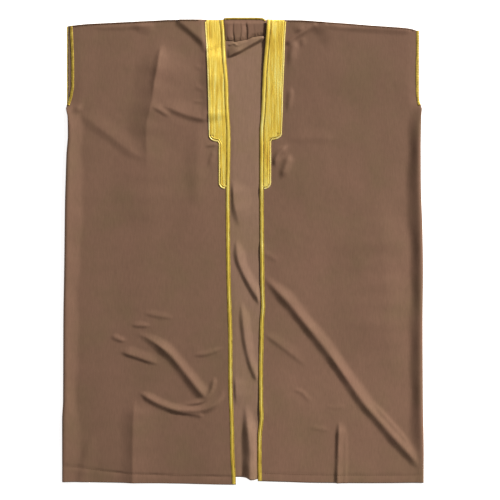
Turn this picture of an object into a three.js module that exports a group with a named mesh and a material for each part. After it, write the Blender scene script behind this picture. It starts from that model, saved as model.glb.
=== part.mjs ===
import * as THREE from 'three';

// A bisht: an open-front cloak of brown cloth with gold trim, laid out flat
// with its fronts upward.  Millimetres, +Y towards the neck, +Z up.  Left and
// right are as seen from above; "down" is measured from the back neck.

// Sizes
const bodyLength = 1448;      // back neck to the lowest point of the hem
const cloth = 1.2;            // wall of every cloth piece
const gap = 0.3;              // air between layers and at seams
const underarmDown = 281;     // foot of the armhole slit
const foldStrip = 14;         // cloth of a front that turns under at its side
const backReach = 542;        // half width of the back at the armholes
const braidWide = 10;         // edge braid, neck to hem
const braidHigh = 2.0;
const bandHigh = 1.0;         // embroidered bands
const bandGap = 1.8;          // cloth showing between braid and band
const cordWide = 3.4;         // cord round each band
const cordHigh = 1.9;
const neckBraidWide = 6;
const backCordWide = 3.6;
const yokeCloth = 1.2;

// Seen from above: shoulder line and hem of the whole garment, across and down.
const shoulder = [
  { x: -560, down: 28 }, { x: -536, down: 26 }, { x: -474, down: 20 }, { x: -412, down: 17 },
  { x: -350, down: 14 }, { x: -288, down: 11 }, { x: -226, down: 8 }, { x: -130, down: 6 },
  { x: -60, down: 4 }, { x: -24, down: 0 }, { x: 30, down: 0 }, { x: 60, down: 3 }, { x: 84, down: 7 },
  { x: 177, down: 9 }, { x: 270, down: 16 }, { x: 332, down: 20 }, { x: 394, down: 25 },
  { x: 456, down: 29 }, { x: 518, down: 35 }, { x: 548, down: 43 }, { x: 560, down: 44 },
];
const hemLine = [
  { x: -560, down: 1439 }, { x: -474, down: 1440 }, { x: -350, down: 1442 }, { x: -226, down: 1444 },
  { x: -130, down: 1446 }, { x: -20, down: 1448 }, { x: 40, down: 1437 }, { x: 84, down: 1438 },
  { x: 146, down: 1440 }, { x: 208, down: 1442 }, { x: 394, down: 1443 }, { x: 560, down: 1442 },
];
const backHem = [
  { x: -560, down: 1433 }, { x: -60, down: 1432 }, { x: -20, down: 1424 }, { x: 8, down: 1425 },
  { x: 26, down: 1432 }, { x: 60, down: 1430 }, { x: 560, down: 1433 },
];

// One entry a side.  edge: inner edge of the front.  side: half width of the
// garment.  roll: the puffed fold at the side, its rise above the flat cloth,
// the reach of its inner slope and the radius of its outer turn.  lift: how far
// the inner edge stands off the back, and over what width it settles.
const sides = {
  left: {
    sign: -1,
    edge: [
      { down: 0, x: -61 }, { down: 39, x: -57 }, { down: 113, x: -52 }, { down: 206, x: -44 },
      { down: 262, x: -43 }, { down: 374, x: -37 }, { down: 535, x: -40 }, { down: 603, x: -39 },
      { down: 789, x: -37 }, { down: 901, x: -34 }, { down: 1012, x: -31 }, { down: 1124, x: -31 },
      { down: 1273, x: -26 }, { down: 1347, x: -25 }, { down: 1448, x: -20 },
    ],
    side: [
      { down: 20, x: 538 }, { down: 60, x: 536 }, { down: 150, x: 533 }, { down: 206, x: 533 },
      { down: 240, x: 537 }, { down: 262, x: 543 }, { down: 281, x: 548 }, { down: 310, x: 543 }, { down: 364, x: 542 },
      { down: 426, x: 547 }, { down: 488, x: 551 }, { down: 581, x: 553 }, { down: 752, x: 554 },
      { down: 938, x: 556 }, { down: 1186, x: 557 }, { down: 1248, x: 560 }, { down: 1448, x: 560 },
    ],
    roll: [
      { down: 281, rise: 0, reach: 20, turn: 1.35 }, { down: 345, rise: 8, reach: 44, turn: 8 },
      { down: 600, rise: 10, reach: 52, turn: 10 }, { down: 900, rise: 9, reach: 46, turn: 9 },
      { down: 1150, rise: 10, reach: 54, turn: 10 }, { down: 1330, rise: 8, reach: 44, turn: 9 },
      { down: 1448, rise: 6, reach: 40, turn: 7 },
    ],
    lift: [
      { down: 0, up: 0.8, wide: 60 }, { down: 300, up: 1.0, wide: 60 }, { down: 560, up: 1.6, wide: 70 },
      { down: 760, up: 2.6, wide: 60 }, { down: 930, up: 1.2, wide: 70 }, { down: 1180, up: 2.8, wide: 60 },
      { down: 1448, up: 1.6, wide: 70 },
    ],
    band: { topOut: -117, midOut: -107, stepDown: 366, stepOut: -104, stepDeep: 20, lowOut: -75, footDown: 513, footDeep: 19, footIn: 14 },
  },
  right: {
    sign: 1,
    edge: [
      { down: 0, x: 74 }, { down: 76, x: 70 }, { down: 150, x: 66 }, { down: 225, x: 62 },
      { down: 299, x: 59 }, { down: 355, x: 54 }, { down: 535, x: 54 }, { down: 845, x: 55 },
      { down: 901, x: 57 }, { down: 938, x: 54 }, { down: 1012, x: 53 }, { down: 1093, x: 50 },
      { down: 1198, x: 50 }, { down: 1235, x: 52 }, { down: 1310, x: 44 }, { down: 1384, x: 44 },
      { down: 1448, x: 46 },
    ],
    side: [
      { down: 20, x: 547 }, { down: 85, x: 547 }, { down: 169, x: 545 }, { down: 236, x: 546 },
      { down: 262, x: 549 }, { down: 281, x: 554 }, { down: 310, x: 552 }, { down: 411, x: 551 },
      { down: 504, x: 553 }, { down: 581, x: 555 }, { down: 783, x: 558 }, { down: 938, x: 556 },
      { down: 1186, x: 558 }, { down: 1372, x: 560 }, { down: 1448, x: 560 },
    ],
    roll: [
      { down: 281, rise: 0, reach: 20, turn: 1.35 }, { down: 345, rise: 10, reach: 34, turn: 8 },
      { down: 520, rise: 13, reach: 38, turn: 9 }, { down: 800, rise: 14, reach: 38, turn: 9 },
      { down: 1000, rise: 12, reach: 36, turn: 9 }, { down: 1250, rise: 13, reach: 38, turn: 9 },
      { down: 1380, rise: 8, reach: 34, turn: 8 }, { down: 1448, rise: 5, reach: 34, turn: 6 },
    ],
    lift: [
      { down: 0, up: 2.0, wide: 60 }, { down: 120, up: 5.0, wide: 75 }, { down: 300, up: 4.5, wide: 75 },
      { down: 460, up: 3.4, wide: 60 }, { down: 640, up: 3.2, wide: 60 }, { down: 760, up: 6.0, wide: 60 },
      { down: 860, up: 5.0, wide: 50 }, { down: 960, up: 5.6, wide: 55 }, { down: 1100, up: 3.4, wide: 60 },
      { down: 1250, up: 6.0, wide: 55 }, { down: 1350, up: 3.6, wide: 60 }, { down: 1448, up: 3.0, wide: 60 },
    ],
    band: { topOut: 130, midOut: 121, stepDown: 360, stepOut: 118, stepDeep: 20, lowOut: 87, footDown: 512, footDeep: 21, footIn: 16 },
  },
};

// Folds, a row each: a ridge from (x, down) to (toX, toDown), bowed sideways at
// its middle, with its own width on the left and on the right of that line,
// its rise, and the share of its length over which it fades in and out.
const folds = {
  left: [
    { x: -200, down: 8, toX: -104, toDown: 88, bow: 0, left: 40, right: 11, rise: 4.5, fadeIn: 0.1, fadeOut: 0.35 },
    { x: -240, down: 30, toX: -294, toDown: 350, bow: -4, left: 46, right: 22, rise: 7, fadeIn: 0.25, fadeOut: 0.35 },
    { x: -295, down: 300, toX: -291, toDown: 650, bow: 0, left: 80, right: 12, rise: 4, fadeIn: 0.2, fadeOut: 0.6 },
    { x: -500, down: 288, toX: -296, toDown: 440, bow: -4, left: 44, right: 13, rise: 4.5, fadeIn: 0.2, fadeOut: 0.25 },
    { x: -288, down: 277, toX: -220, toDown: 304, bow: 3, left: 24, right: 10, rise: 4, fadeIn: 0.3, fadeOut: 0.4 },
    { x: -260, down: 272, toX: -106, toDown: 306, bow: -4, left: 26, right: 11, rise: 4, fadeIn: 0.3, fadeOut: 0.3 },
    { x: -124, down: 330, toX: -128, toDown: 600, bow: 4, left: 34, right: 30, rise: 3.4, fadeIn: 0.3, fadeOut: 0.4 },
    { x: -318, down: 908, toX: -206, toDown: 926, bow: 2, left: 22, right: 12, rise: 2.8, fadeIn: 0.3, fadeOut: 0.4 },
    { x: -410, down: 978, toX: -356, toDown: 1006, bow: -3, left: 14, right: 9, rise: 2.8, fadeIn: 0.3, fadeOut: 0.3 },
    { x: -382, down: 1028, toX: -250, toDown: 1070, bow: 3, left: 26, right: 11, rise: 3.8, fadeIn: 0.25, fadeOut: 0.3 },
    { x: -300, down: 990, toX: -110, toDown: 1178, bow: 14, left: 28, right: 20, rise: 9, fadeIn: 0.2, fadeOut: 0.2 },
    { x: -318, down: 1168, toX: -116, toDown: 1224, bow: -12, left: 24, right: 15, rise: 6, fadeIn: 0.2, fadeOut: 0.15 },
    { x: -136, down: 1222, toX: -60, toDown: 1140, bow: -8, left: 14, right: 16, rise: 5, fadeIn: 0.2, fadeOut: 0.3 },
    { x: -338, down: 1168, toX: -342, toDown: 1460, bow: 0, left: 66, right: 24, rise: 5, fadeIn: 0.3, fadeOut: 0.1 },
    { x: -470, down: 1370, toX: -505, toDown: 1460, bow: 0, left: 40, right: 18, rise: 3.5, fadeIn: 0.4, fadeOut: 0.1 },
  ],
  right: [
    { x: 128, down: 82, toX: 252, toDown: 8, bow: 4, left: 20, right: 26, rise: 4.5, fadeIn: 0.25, fadeOut: 0.2 },
    { x: 162, down: 80, toX: 150, toDown: 170, bow: 0, left: 22, right: 13, rise: 3, fadeIn: 0.3, fadeOut: 0.4 },
    { x: 150, down: 382, toX: 92, toDown: 462, bow: 3, left: 12, right: 13, rise: 4, fadeIn: 0.3, fadeOut: 0.3 },
    { x: 152, down: 426, toX: 122, toDown: 502, bow: 2, left: 13, right: 11, rise: 3.2, fadeIn: 0.3, fadeOut: 0.3 },
    { x: 66, down: 786, toX: 536, toDown: 1374, bow: -4, left: 38, right: 23, rise: 12, fadeIn: 0.18, fadeOut: 0.16 },
    { x: 74, down: 974, toX: 216, toDown: 1084, bow: 5, left: 30, right: 13, rise: 4.6, fadeIn: 0.2, fadeOut: 0.3 },
    { x: 297, down: 1238, toX: 292, toDown: 1470, bow: 0, left: 24, right: 12, rise: 5.5, fadeIn: 0.25, fadeOut: 0.05 },
    { x: 400, down: 330, toX: 412, toDown: 1330, bow: 0, left: 90, right: 100, rise: 2.2, fadeIn: 0.3, fadeOut: 0.3 },
    { x: 466, down: 1390, toX: 512, toDown: 1450, bow: 0, left: 26, right: 16, rise: 3, fadeIn: 0.4, fadeOut: 0.1 },
  ],
  // The back shows only between the fronts, so its folds keep to that channel.
  back: [
    { x: -62, down: 118, toX: 80, toDown: 62, bow: -3, left: 14, right: 24, rise: 5, fadeIn: 0.1, fadeOut: 0.1 },
    { x: -34, down: 465, toX: 30, toDown: 672, bow: 4, left: 24, right: 14, rise: 4, fadeIn: 0.2, fadeOut: 0.2 },
    { x: -22, down: 668, toX: 62, toDown: 895, bow: -4, left: 26, right: 14, rise: 5, fadeIn: 0.15, fadeOut: 0.2 },
    { x: -8, down: 910, toX: 58, toDown: 1138, bow: -4, left: 22, right: 14, rise: 4.2, fadeIn: 0.2, fadeOut: 0.2 },
    { x: 4, down: 1180, toX: 30, toDown: 1450, bow: 3, left: 22, right: 16, rise: 5, fadeIn: 0.35, fadeOut: 0.05 },
  ],
};

// Gathered yoke inside the back neck: its lower edge, and the puffs between the
// gathering threads (centre across, half width, rise).
const yokeFoot = [
  { x: -60, down: 70 }, { x: -38, down: 72 }, { x: -10, down: 70 }, { x: 12, down: 66 },
  { x: 36, down: 60 }, { x: 72, down: 56 },
];
const gathers = [
  { x: -35, half: 9, rise: 2.6 }, { x: -19, half: 8, rise: 3.4 }, { x: -4, half: 8, rise: 3.8 },
  { x: 16, half: 11, rise: 3.0 }, { x: 36, half: 9, rise: 2.4 }, { x: 52, half: 7, rise: 1.8 },
];

// Helpers
const clamp = (t) => Math.min(1, Math.max(0, t));
const ease = (t) => { const s = clamp(t); return s * s * (3 - 2 * s); };
const mix = (a, b, t) => a + (b - a) * t;

// A smooth curve through the rows of a table: column `value` over column `key`.
function curve(rows, key, value) {
  const k = rows.map((r) => r[key]);
  const y = rows.map((r) => r[value]);
  const m = y.map((_, i) => {
    if (i === 0 || i === y.length - 1) return 0;
    const a = (y[i] - y[i - 1]) / (k[i] - k[i - 1]);
    const b = (y[i + 1] - y[i]) / (k[i + 1] - k[i]);
    return a * b <= 0 ? 0 : (2 * a * b) / (a + b);
  });
  return (at) => {
    if (at <= k[0]) return y[0];
    if (at >= k[k.length - 1]) return y[y.length - 1];
    let i = 1;
    while (k[i] < at) i += 1;
    const h = k[i] - k[i - 1];
    const t = (at - k[i - 1]) / h;
    const t2 = t * t;
    const t3 = t2 * t;
    return y[i - 1] * (2 * t3 - 3 * t2 + 1) + m[i - 1] * h * (t3 - 2 * t2 + t)
      + y[i] * (3 * t2 - 2 * t3) + m[i] * h * (t3 - t2);
  };
}

// Rise of one fold at a place: full on its line, falling to nothing at its
// width on either side, and fading in and out along its length.
function foldRise(row, x, down) {
  const dx = row.toX - row.x;
  const dy = row.down - row.toDown;
  const long = Math.hypot(dx, dy);
  const px = x - row.x;
  const py = row.down - down;
  const t = (px * dx + py * dy) / (long * long);
  if (t <= 0 || t >= 1) return 0;
  const off = (py * dx - px * dy) / long - row.bow * 4 * t * (1 - t);
  const q = Math.abs(off) / (off > 0 ? row.left : row.right);
  if (q >= 1) return 0;
  return row.rise * (1 - q * q) ** 2 * ease(t / row.fadeIn) * ease((1 - t) / row.fadeOut);
}
const foldSum = (rows, x, down) => rows.reduce((sum, row) => sum + foldRise(row, x, down), 0);

const shoulderAt = curve(shoulder, 'x', 'down');
const hemAt = curve(hemLine, 'x', 'down');
const backHemAt = curve(backHem, 'x', 'down');
const toY = (down) => bodyLength / 2 - down;

// Upward normal of a height function of (x, down).
function slopeNormal(height, x, down) {
  const e = 0.4;
  const gx = (height(x + e, down) - height(x - e, down)) / (2 * e);
  const gy = (height(x, down - e) - height(x, down + e)) / (2 * e);
  const n = Math.hypot(gx, gy, 1);
  return [-gx / n, -gy / n, 1 / n];
}

// Curves and upper face of one front.
function frontShape(name) {
  const s = sides[name];
  const edge = curve(s.edge, 'down', 'x');
  const half = curve(s.side, 'down', 'x');
  const rise = curve(s.roll, 'down', 'rise');
  const reach = curve(s.roll, 'down', 'reach');
  const turn = curve(s.roll, 'down', 'turn');
  const up = curve(s.lift, 'down', 'up');
  const wide = curve(s.lift, 'down', 'wide');
  const flat = 2 * cloth + gap;
  const height = (x, down) => {
    const fromCrest = half(down) - turn(down) - s.sign * x;
    const slope = ease(1 - fromCrest / reach(down)) ** 1.3;
    const fromEdge = Math.max(0, s.sign * (x - edge(down)));
    const settle = clamp(1 - fromEdge / wide(down)) ** 2;
    return flat + rise(down) * slope + up(down) * settle
      + foldSum(folds[name], x, down) * ease(fromCrest / 36);
  };
  return { ...s, edge, half, turn, height };
}
const shapes = { left: frontShape('left'), right: frontShape('right') };

// Upper face of the back: level, with folds only in the channel between fronts.
function backHeight(x, down) {
  const inside = Math.min(x - shapes.left.edge(down), shapes.right.edge(down) - x);
  return cloth + foldSum(folds.back, x, down) * ease(inside / 14);
}

// A closed wall on a surface.  at(u, v) gives a point and its outward normal;
// the grid of uLines and vLines is thinned by keep() and then split, longest
// edge first, until no edge leaves the surface by more than slack().
function wall(name, material, { at, uLines, vLines, keep = () => true, thick, slack, rounds = 9 }) {
  const uv = [];
  const pos = [];
  const nor = [];
  const addPoint = (u, v) => {
    const p = at(u, v);
    uv.push([u, v]);
    pos.push(p.slice(0, 3));
    nor.push(p.slice(3, 6));
    return uv.length - 1;
  };
  const ids = new Map();
  const grid = (i, j) => {
    const k = i * 4096 + j;
    if (!ids.has(k)) ids.set(k, addPoint(uLines[i], vLines[j]));
    return ids.get(k);
  };
  let tris = [];
  for (let i = 0; i + 1 < uLines.length; i += 1) {
    for (let j = 0; j + 1 < vLines.length; j += 1) {
      if (!keep(0.5 * (uLines[i] + uLines[i + 1]), 0.5 * (vLines[j] + vLines[j + 1]))) continue;
      const [a, b, c, d] = [grid(i, j), grid(i + 1, j), grid(i + 1, j + 1), grid(i, j + 1)];
      if ((i + j) % 2) tris.push([a, b, c], [a, c, d]); else tris.push([a, b, d], [b, c, d]);
    }
  }
  const key = (a, b) => (a < b ? a * 1048576 + b : b * 1048576 + a);
  const edgesOf = (t) => [[t[0], t[1]], [t[1], t[2]], [t[2], t[0]]];
  const span = (a, b) => Math.hypot(pos[a][0] - pos[b][0], pos[a][1] - pos[b][1], pos[a][2] - pos[b][2]);
  for (let round = 0; round < rounds; round += 1) {
    const uses = new Map();
    for (const t of tris) for (const [a, b] of edgesOf(t)) uses.set(key(a, b), (uses.get(key(a, b)) || 0) + 1);
    const split = new Set();
    for (const [k, count] of uses) {
      const a = Math.floor(k / 1048576);
      const b = k % 1048576;
      if (span(a, b) < 12) continue;
      for (const f of [0.25, 0.5, 0.75]) {
        const p = at(mix(uv[a][0], uv[b][0], f), mix(uv[a][1], uv[b][1], f));
        const d = [0, 1, 2].map((i) => p[i] - mix(pos[a][i], pos[b][i], f));
        let off = Math.abs(d[0] * p[3] + d[1] * p[4] + d[2] * p[5]);
        if (count === 1) {
          const e = [0, 1, 2].map((i) => (pos[b][i] - pos[a][i]) / span(a, b));
          const along = d[0] * e[0] + d[1] * e[1] + d[2] * e[2];
          off = Math.max(off, Math.hypot(d[0] - along * e[0], d[1] - along * e[1], d[2] - along * e[2]));
        }
        if (off > slack(p[0], bodyLength / 2 - p[1], p[2])) { split.add(k); break; }
      }
    }
    if (!split.size) break;
    // a triangle with any split edge also splits its longest one
    for (let grew = true; grew;) {
      grew = false;
      for (const t of tris) {
        const es = edgesOf(t);
        if (!es.some(([a, b]) => split.has(key(a, b)))) continue;
        const longest = es.reduce((m, e) => (span(...e) > span(...m) ? e : m));
        if (!split.has(key(...longest))) { split.add(key(...longest)); grew = true; }
      }
    }
    const middle = new Map();
    for (const k of split) {
      const a = Math.floor(k / 1048576);
      const b = k % 1048576;
      middle.set(k, addPoint(mix(uv[a][0], uv[b][0], 0.5), mix(uv[a][1], uv[b][1], 0.5)));
    }
    const next = [];
    const cut = (t) => {
      const es = edgesOf(t).filter(([a, b]) => middle.has(key(a, b)));
      if (!es.length) { next.push(t); return; }
      const [a, b] = es.reduce((m, e) => (span(...e) > span(...m) ? e : m));
      const c = t.find((i) => i !== a && i !== b);
      const m = middle.get(key(a, b));
      cut([a, m, c]);
      cut([m, b, c]);
    };
    tris.forEach(cut);
    tris = next;
  }
  // outer face, inner face and the rim between them
  const count = pos.length;
  const points = [...pos];
  for (let i = 0; i < count; i += 1) points.push(pos[i].map((c, k) => c - nor[i][k] * thick));
  const [a0, b0, c0] = tris[0];
  const ab = [0, 1, 2].map((i) => pos[b0][i] - pos[a0][i]);
  const ac = [0, 1, 2].map((i) => pos[c0][i] - pos[a0][i]);
  const facing = (ab[1] * ac[2] - ab[2] * ac[1]) * nor[a0][0] + (ab[2] * ac[0] - ab[0] * ac[2]) * nor[a0][1]
    + (ab[0] * ac[1] - ab[1] * ac[0]) * nor[a0][2];
  if (facing < 0) tris = tris.map(([a, b, c]) => [a, c, b]);
  const faces = [];
  const rim = new Map();
  for (const t of tris) {
    faces.push(t, [t[0] + count, t[2] + count, t[1] + count]);
    for (const [a, b] of edgesOf(t)) {
      if (rim.has(key(a, b))) rim.delete(key(a, b)); else rim.set(key(a, b), [a, b]);
    }
  }
  for (const [a, b] of rim.values()) faces.push([b, a, a + count], [b, a + count, b + count]);
  return solid(name, material, points, faces);
}

// A strip laid along a path.  stations give the middle of the strip (x, down),
// its cross direction, and the face it lies on; section rows are (across, up).
function strip(name, material, stations, section, floor) {
  const points = [];
  const n = section.length;
  stations.forEach(({ x, down, crossX, crossY }) => {
    section.forEach(({ across, up }) => {
      const px = x + crossX * across;
      const pd = down - crossY * across;
      const nrm = slopeNormal(floor, px, pd);
      points.push([px + nrm[0] * up, toY(pd) + nrm[1] * up, floor(px, pd) + nrm[2] * up]);
    });
  });
  const faces = [];
  for (let i = 0; i + 1 < stations.length; i += 1) {
    for (let k = 0; k < n; k += 1) {
      const a = i * n + k;
      const b = i * n + ((k + 1) % n);
      faces.push([a, b, b + n], [a, b + n, a + n]);
    }
  }
  const last = (stations.length - 1) * n;
  for (let k = 1; k + 1 < n; k += 1) faces.push([0, k + 1, k], [last, last + k, last + k + 1]);
  return solid(name, material, points, faces);
}

// Section of a strip: flat below, shoulders cut back, as wide as given.
const stripSection = (wide, high, lift, shoulderCut) => [
  { across: -wide / 2, up: lift }, { across: 0, up: lift }, { across: wide / 2, up: lift },
  { across: wide / 2, up: lift + high * 0.5 }, { across: wide / 2 - shoulderCut, up: lift + high },
  { across: -wide / 2 + shoulderCut, up: lift + high }, { across: -wide / 2, up: lift + high * 0.5 },
];

// Stations along a path (x, down) at even steps, cross direction to its left.
function along(path, from, to, count) {
  return Array.from({ length: count + 1 }, (_, i) => {
    const t = mix(from, to, i / count);
    const [x, down] = path(t);
    const [ax, ad] = path(t - 0.01);
    const [bx, bd] = path(t + 0.01);
    const dx = bx - ax;
    const dy = ad - bd;
    const n = Math.hypot(dx, dy);
    return { x, down, crossX: -dy / n, crossY: dx / n };
  });
}

function solid(name, material, points, faces) {
  let volume = 0;
  for (const [a, b, c] of faces) {
    const [p, q, r] = [points[a], points[b], points[c]];
    volume += p[0] * (q[1] * r[2] - q[2] * r[1]) + p[1] * (q[2] * r[0] - q[0] * r[2]) + p[2] * (q[0] * r[1] - q[1] * r[0]);
  }
  const geometry = new THREE.BufferGeometry();
  geometry.setAttribute('position', new THREE.Float32BufferAttribute(points.flat(), 3));
  geometry.setIndex(faces.flatMap(([a, b, c]) => (volume < 0 ? [a, c, b] : [a, b, c])));
  geometry.computeVertexNormals();
  const mesh = new THREE.Mesh(geometry, material);
  mesh.name = name;
  return mesh;
}

// Materials
const brownCloth = new THREE.MeshStandardMaterial({ color: '#7f604c', roughness: 0.62, metalness: 0 });
const innerCloth = new THREE.MeshStandardMaterial({ color: '#8d715d', roughness: 0.66, metalness: 0 });
const goldThread = new THREE.MeshStandardMaterial({ color: '#d9bd4f', roughness: 0.42, metalness: 0.6 });
const goldBraid = new THREE.MeshStandardMaterial({ color: '#b59b4f', roughness: 0.45, metalness: 0.6 });

// Evenly spaced lines from a to b.
const lines = (a, b, n) => Array.from({ length: n + 1 }, (_, i) => mix(a, b, i / n));

// Front: panel (u 0 to 1), outer turn of the side roll (1 to 2) and the strip
// that lies underneath and meets the back (2 to 3); the last two start at the
// underarm.
const underarmV = underarmDown / bodyLength;
const downAt = (x, v, low = hemAt) => {
  const top = shoulderAt(x);
  return v < underarmV
    ? mix(top, underarmDown, v / underarmV)
    : mix(underarmDown, low(x), (v - underarmV) / (1 - underarmV));
};

function frontPanel(name) {
  const f = shapes[name];
  const flatNear = (x, down, z) => {
    const fromEdge = Math.abs(x - f.edge(down));
    const fromSide = f.half(down) - f.sign * x;
    if (z < 0.01 && fromSide > foldStrip) return 0.1;
    if (fromEdge < braidWide + 3) return 0.13;
    if (down < 540 && fromEdge < Math.abs(bandOuter(name, down) - f.edge(down)) + 3) return 0.13;
    if (down < underarmDown && fromSide < 16) return 0.13;
    return 1.3;
  };
  const at = (u, v) => {
    const across = clamp(u);
    const guess = v * bodyLength;
    let x = mix(f.edge(guess), f.sign * (f.half(guess) - f.turn(guess)), across);
    const down = downAt(x, v);
    const crest = f.sign * (f.half(down) - f.turn(down));
    x = mix(f.edge(down), crest, across);
    if (u <= 1) return [x, toY(down), f.height(x, down), ...slopeNormal(f.height, x, down)];
    const top = f.height(crest, down);
    const r = f.turn(down);
    if (u <= 2) {
      const angle = Math.PI * (0.5 - (u - 1));
      const nx = Math.cos(angle) / r;
      const nz = Math.sin(angle) / (top / 2);
      const n = Math.hypot(nx, nz);
      return [crest + f.sign * r * Math.cos(angle), toY(down), top / 2 * (1 + Math.sin(angle)), f.sign * nx / n, 0, nz / n];
    }
    return [crest - f.sign * foldStrip * (u - 2), toY(down), 0, 0, 0, -1];
  };
  return wall(`front_${name}`, brownCloth, {
    at,
    uLines: [...lines(0, 0.92, 7), 0.96, 1, 1.25, 1.5, 1.75, 2, 3],
    vLines: [...lines(0, underarmV, 4), ...lines(underarmV, 1, 13).slice(1)],
    keep: (u, v) => u < 1 || v > underarmV,
    thick: cloth,
    slack: flatNear,
  });
}

// Back: between the two side seams, and out to the armholes above the underarm.
function backPanel() {
  const seam = (name, down) => {
    const f = shapes[name];
    const d = Math.max(down, underarmDown);
    return f.sign * (f.half(d) - f.turn(d) - foldStrip - gap);
  };
  const low = backHemAt;
  const stepV = underarmV - gap / bodyLength;
  const at = (u, v) => {
    const place = (d) => {
      if (u < 0) return mix(-backReach, seam('left', d), u + 1);
      if (u > 1) return mix(seam('right', d), backReach, u - 1);
      return mix(seam('left', d), seam('right', d), u);
    };
    const x = place(v * bodyLength);
    const down = downAt(x, v, low);
    const px = place(down);
    return [px, toY(down), backHeight(px, down), ...slopeNormal(backHeight, px, down)];
  };
  return wall('back_panel', innerCloth, {
    at,
    uLines: [-1, 0, ...lines(0, 0.46, 4).slice(1), 0.485, 0.51, 0.535, 0.56, ...lines(0.56, 1, 4).slice(1), 2],
    vLines: [...lines(0, stepV, 4), ...lines(stepV, 1, 16).slice(1)],
    keep: (u, v) => (u > 0 && u < 1) || v < stepV,
    thick: cloth,
    slack: (x, down) => {
      const inside = Math.min(x - shapes.left.edge(down), shapes.right.edge(down) - x);
      if (inside > 14) return 1.2;
      if (inside > -30) return 0.6;
      return Math.abs(x) > 500 && down > underarmDown - 1 ? 0.1 : 0.2;
    },
  });
}

// Yoke: a short strip over the back neck, puffed between its gathering threads.
function yokeHeight(x, down) {
  const foot = curve(yokeFoot, 'x', 'down')(x);
  const fade = ease((down - 12) / 22) * ease((foot + 6 - down) / 14);
  const puff = gathers.reduce((sum, g) => {
    const q = Math.abs(x - g.x) / g.half;
    return sum + (q < 1 ? g.rise * (1 - q * q) : 0);
  }, 0);
  return cloth + gap + yokeCloth + puff * fade;
}
function neckYoke() {
  const foot = curve(yokeFoot, 'x', 'down');
  const place = (u, d) => mix(shapes.left.edge(d) + 1, shapes.right.edge(d) - 1, u);
  const at = (u, v) => {
    const x0 = place(u, 35);
    const down = mix(shoulderAt(x0) + 1, foot(x0), v);
    const x = place(u, down);
    return [x, toY(down), yokeHeight(x, down), ...slopeNormal(yokeHeight, x, down)];
  };
  return wall('neck_yoke', innerCloth, {
    at, uLines: lines(0, 1, 14), vLines: [0, 0.17, 0.5, 0.8, 1], thick: yokeCloth, slack: () => 0.8,
  });
}

// Embroidered bands: outer line of each, stepping in with rounded corners.
function bandOuter(name, down, inset = 0) {
  const { topOut, midOut, stepDown, stepOut, stepDeep, lowOut, footDown, footDeep, footIn } = sides[name].band;
  const sign = sides[name].sign;
  const back = sign * inset;
  if (down < 130) return mix(topOut, midOut, ease(down / 130)) - back;
  if (down < stepDown) return mix(midOut, stepOut, (down - 130) / (stepDown - 130)) - back;
  if (down < stepDown + stepDeep - inset) {
    const q = (down - stepDown) / (stepDeep - inset);
    return mix(lowOut, stepOut, Math.sqrt(1 - q * q)) - back;
  }
  if (down < footDown) return lowOut - back;
  const q = clamp((down - footDown) / (footDeep - inset));
  return lowOut - sign * footIn * (1 - Math.sqrt(1 - q * q * 0.98)) - back;
}
function band(name) {
  const f = shapes[name];
  const b = f.band;
  const inset = cordWide + gap;
  const foot = b.footDown + b.footDeep - inset;
  const lift = gap + bandHigh;
  const at = (u, v) => {
    const down0 = mix(0, foot, v);
    const x0 = mix(f.edge(down0), bandOuter(name, down0), u);
    const down = mix(shoulderAt(x0) + 1, foot, v);
    const inner = f.edge(down) + f.sign * (braidWide + bandGap);
    const x = mix(inner, bandOuter(name, down, inset), u);
    const n = slopeNormal(f.height, x, down);
    return [x + n[0] * lift, toY(down) + n[1] * lift, f.height(x, down) + n[2] * lift, ...n];
  };
  const atDown = (d) => d / foot;
  const rounded = (d, deep) => [0, 0.3, 0.55, 0.75, 0.9, 0.99].map((q) => atDown(d + deep * q));
  return wall(`band_${name}`, goldThread, {
    at,
    uLines: lines(0, 1, 3),
    vLines: [0, ...[70, 140, 210, 280].map(atDown), ...rounded(b.stepDown, b.stepDeep - inset),
      atDown(b.stepDown + b.stepDeep - inset + 1), atDown(450), ...rounded(b.footDown, b.footDeep - inset)],
    thick: bandHigh,
    slack: () => 0.13,
  });
}

// Cord round the outer line of a band, from the shoulder to its foot.
function bandCord(name) {
  const f = shapes[name];
  const b = f.band;
  const inset = f.sign * cordWide / 2;
  const stations = [];
  const put = (x, down) => stations.push([x, down]);
  for (const d of lines(12, b.stepDown - 4, 16)) put(bandOuter(name, d) - inset, d);
  const corner = (x, down, wide, deep) => {
    for (const a of lines(0, 75, 5)) {
      const t = a * Math.PI / 180;
      put(x - f.sign * wide * (1 - Math.cos(t)) - inset * Math.cos(t), down + deep * Math.sin(t) - cordWide / 2 * Math.sin(t));
    }
  };
  corner(b.stepOut, b.stepDown, Math.abs(b.stepOut - b.lowOut), b.stepDeep);
  put(b.lowOut - inset, b.stepDown + b.stepDeep + 6);
  for (const d of lines(b.stepDown + b.stepDeep + 24, b.footDown - 6, 6)) put(b.lowOut - inset, d);
  corner(b.lowOut, b.footDown, b.footIn, b.footDeep);
  put(f.edge(b.footDown) + f.sign * (braidWide + 2.5), b.footDown + b.footDeep - cordWide / 2);
  const rows = stations.map(([x, down], i) => {
    const [ax, ad] = stations[Math.max(0, i - 1)];
    const [bx, bd] = stations[Math.min(stations.length - 1, i + 1)];
    const dx = bx - ax;
    const dy = ad - bd;
    const n = Math.hypot(dx, dy);
    return { x, down, crossX: -dy / n, crossY: dx / n };
  });
  return strip(`band_cord_${name}`, goldBraid, rows, stripSection(cordWide, cordHigh, gap, 0.9), f.height);
}

// Braid along the inner edge of a front, neck to hem.
function edgeBraid(name) {
  const f = shapes[name];
  const path = (d) => [f.edge(d) + f.sign * (braidWide / 2), d];
  const x = path(20)[0];
  return strip(`edge_braid_${name}`, goldBraid,
    along(path, shoulderAt(x) + 1.5, hemAt(path(1440)[0]) - 1.5, 60), stripSection(braidWide, braidHigh, gap, 1.4), f.height);
}

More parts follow.
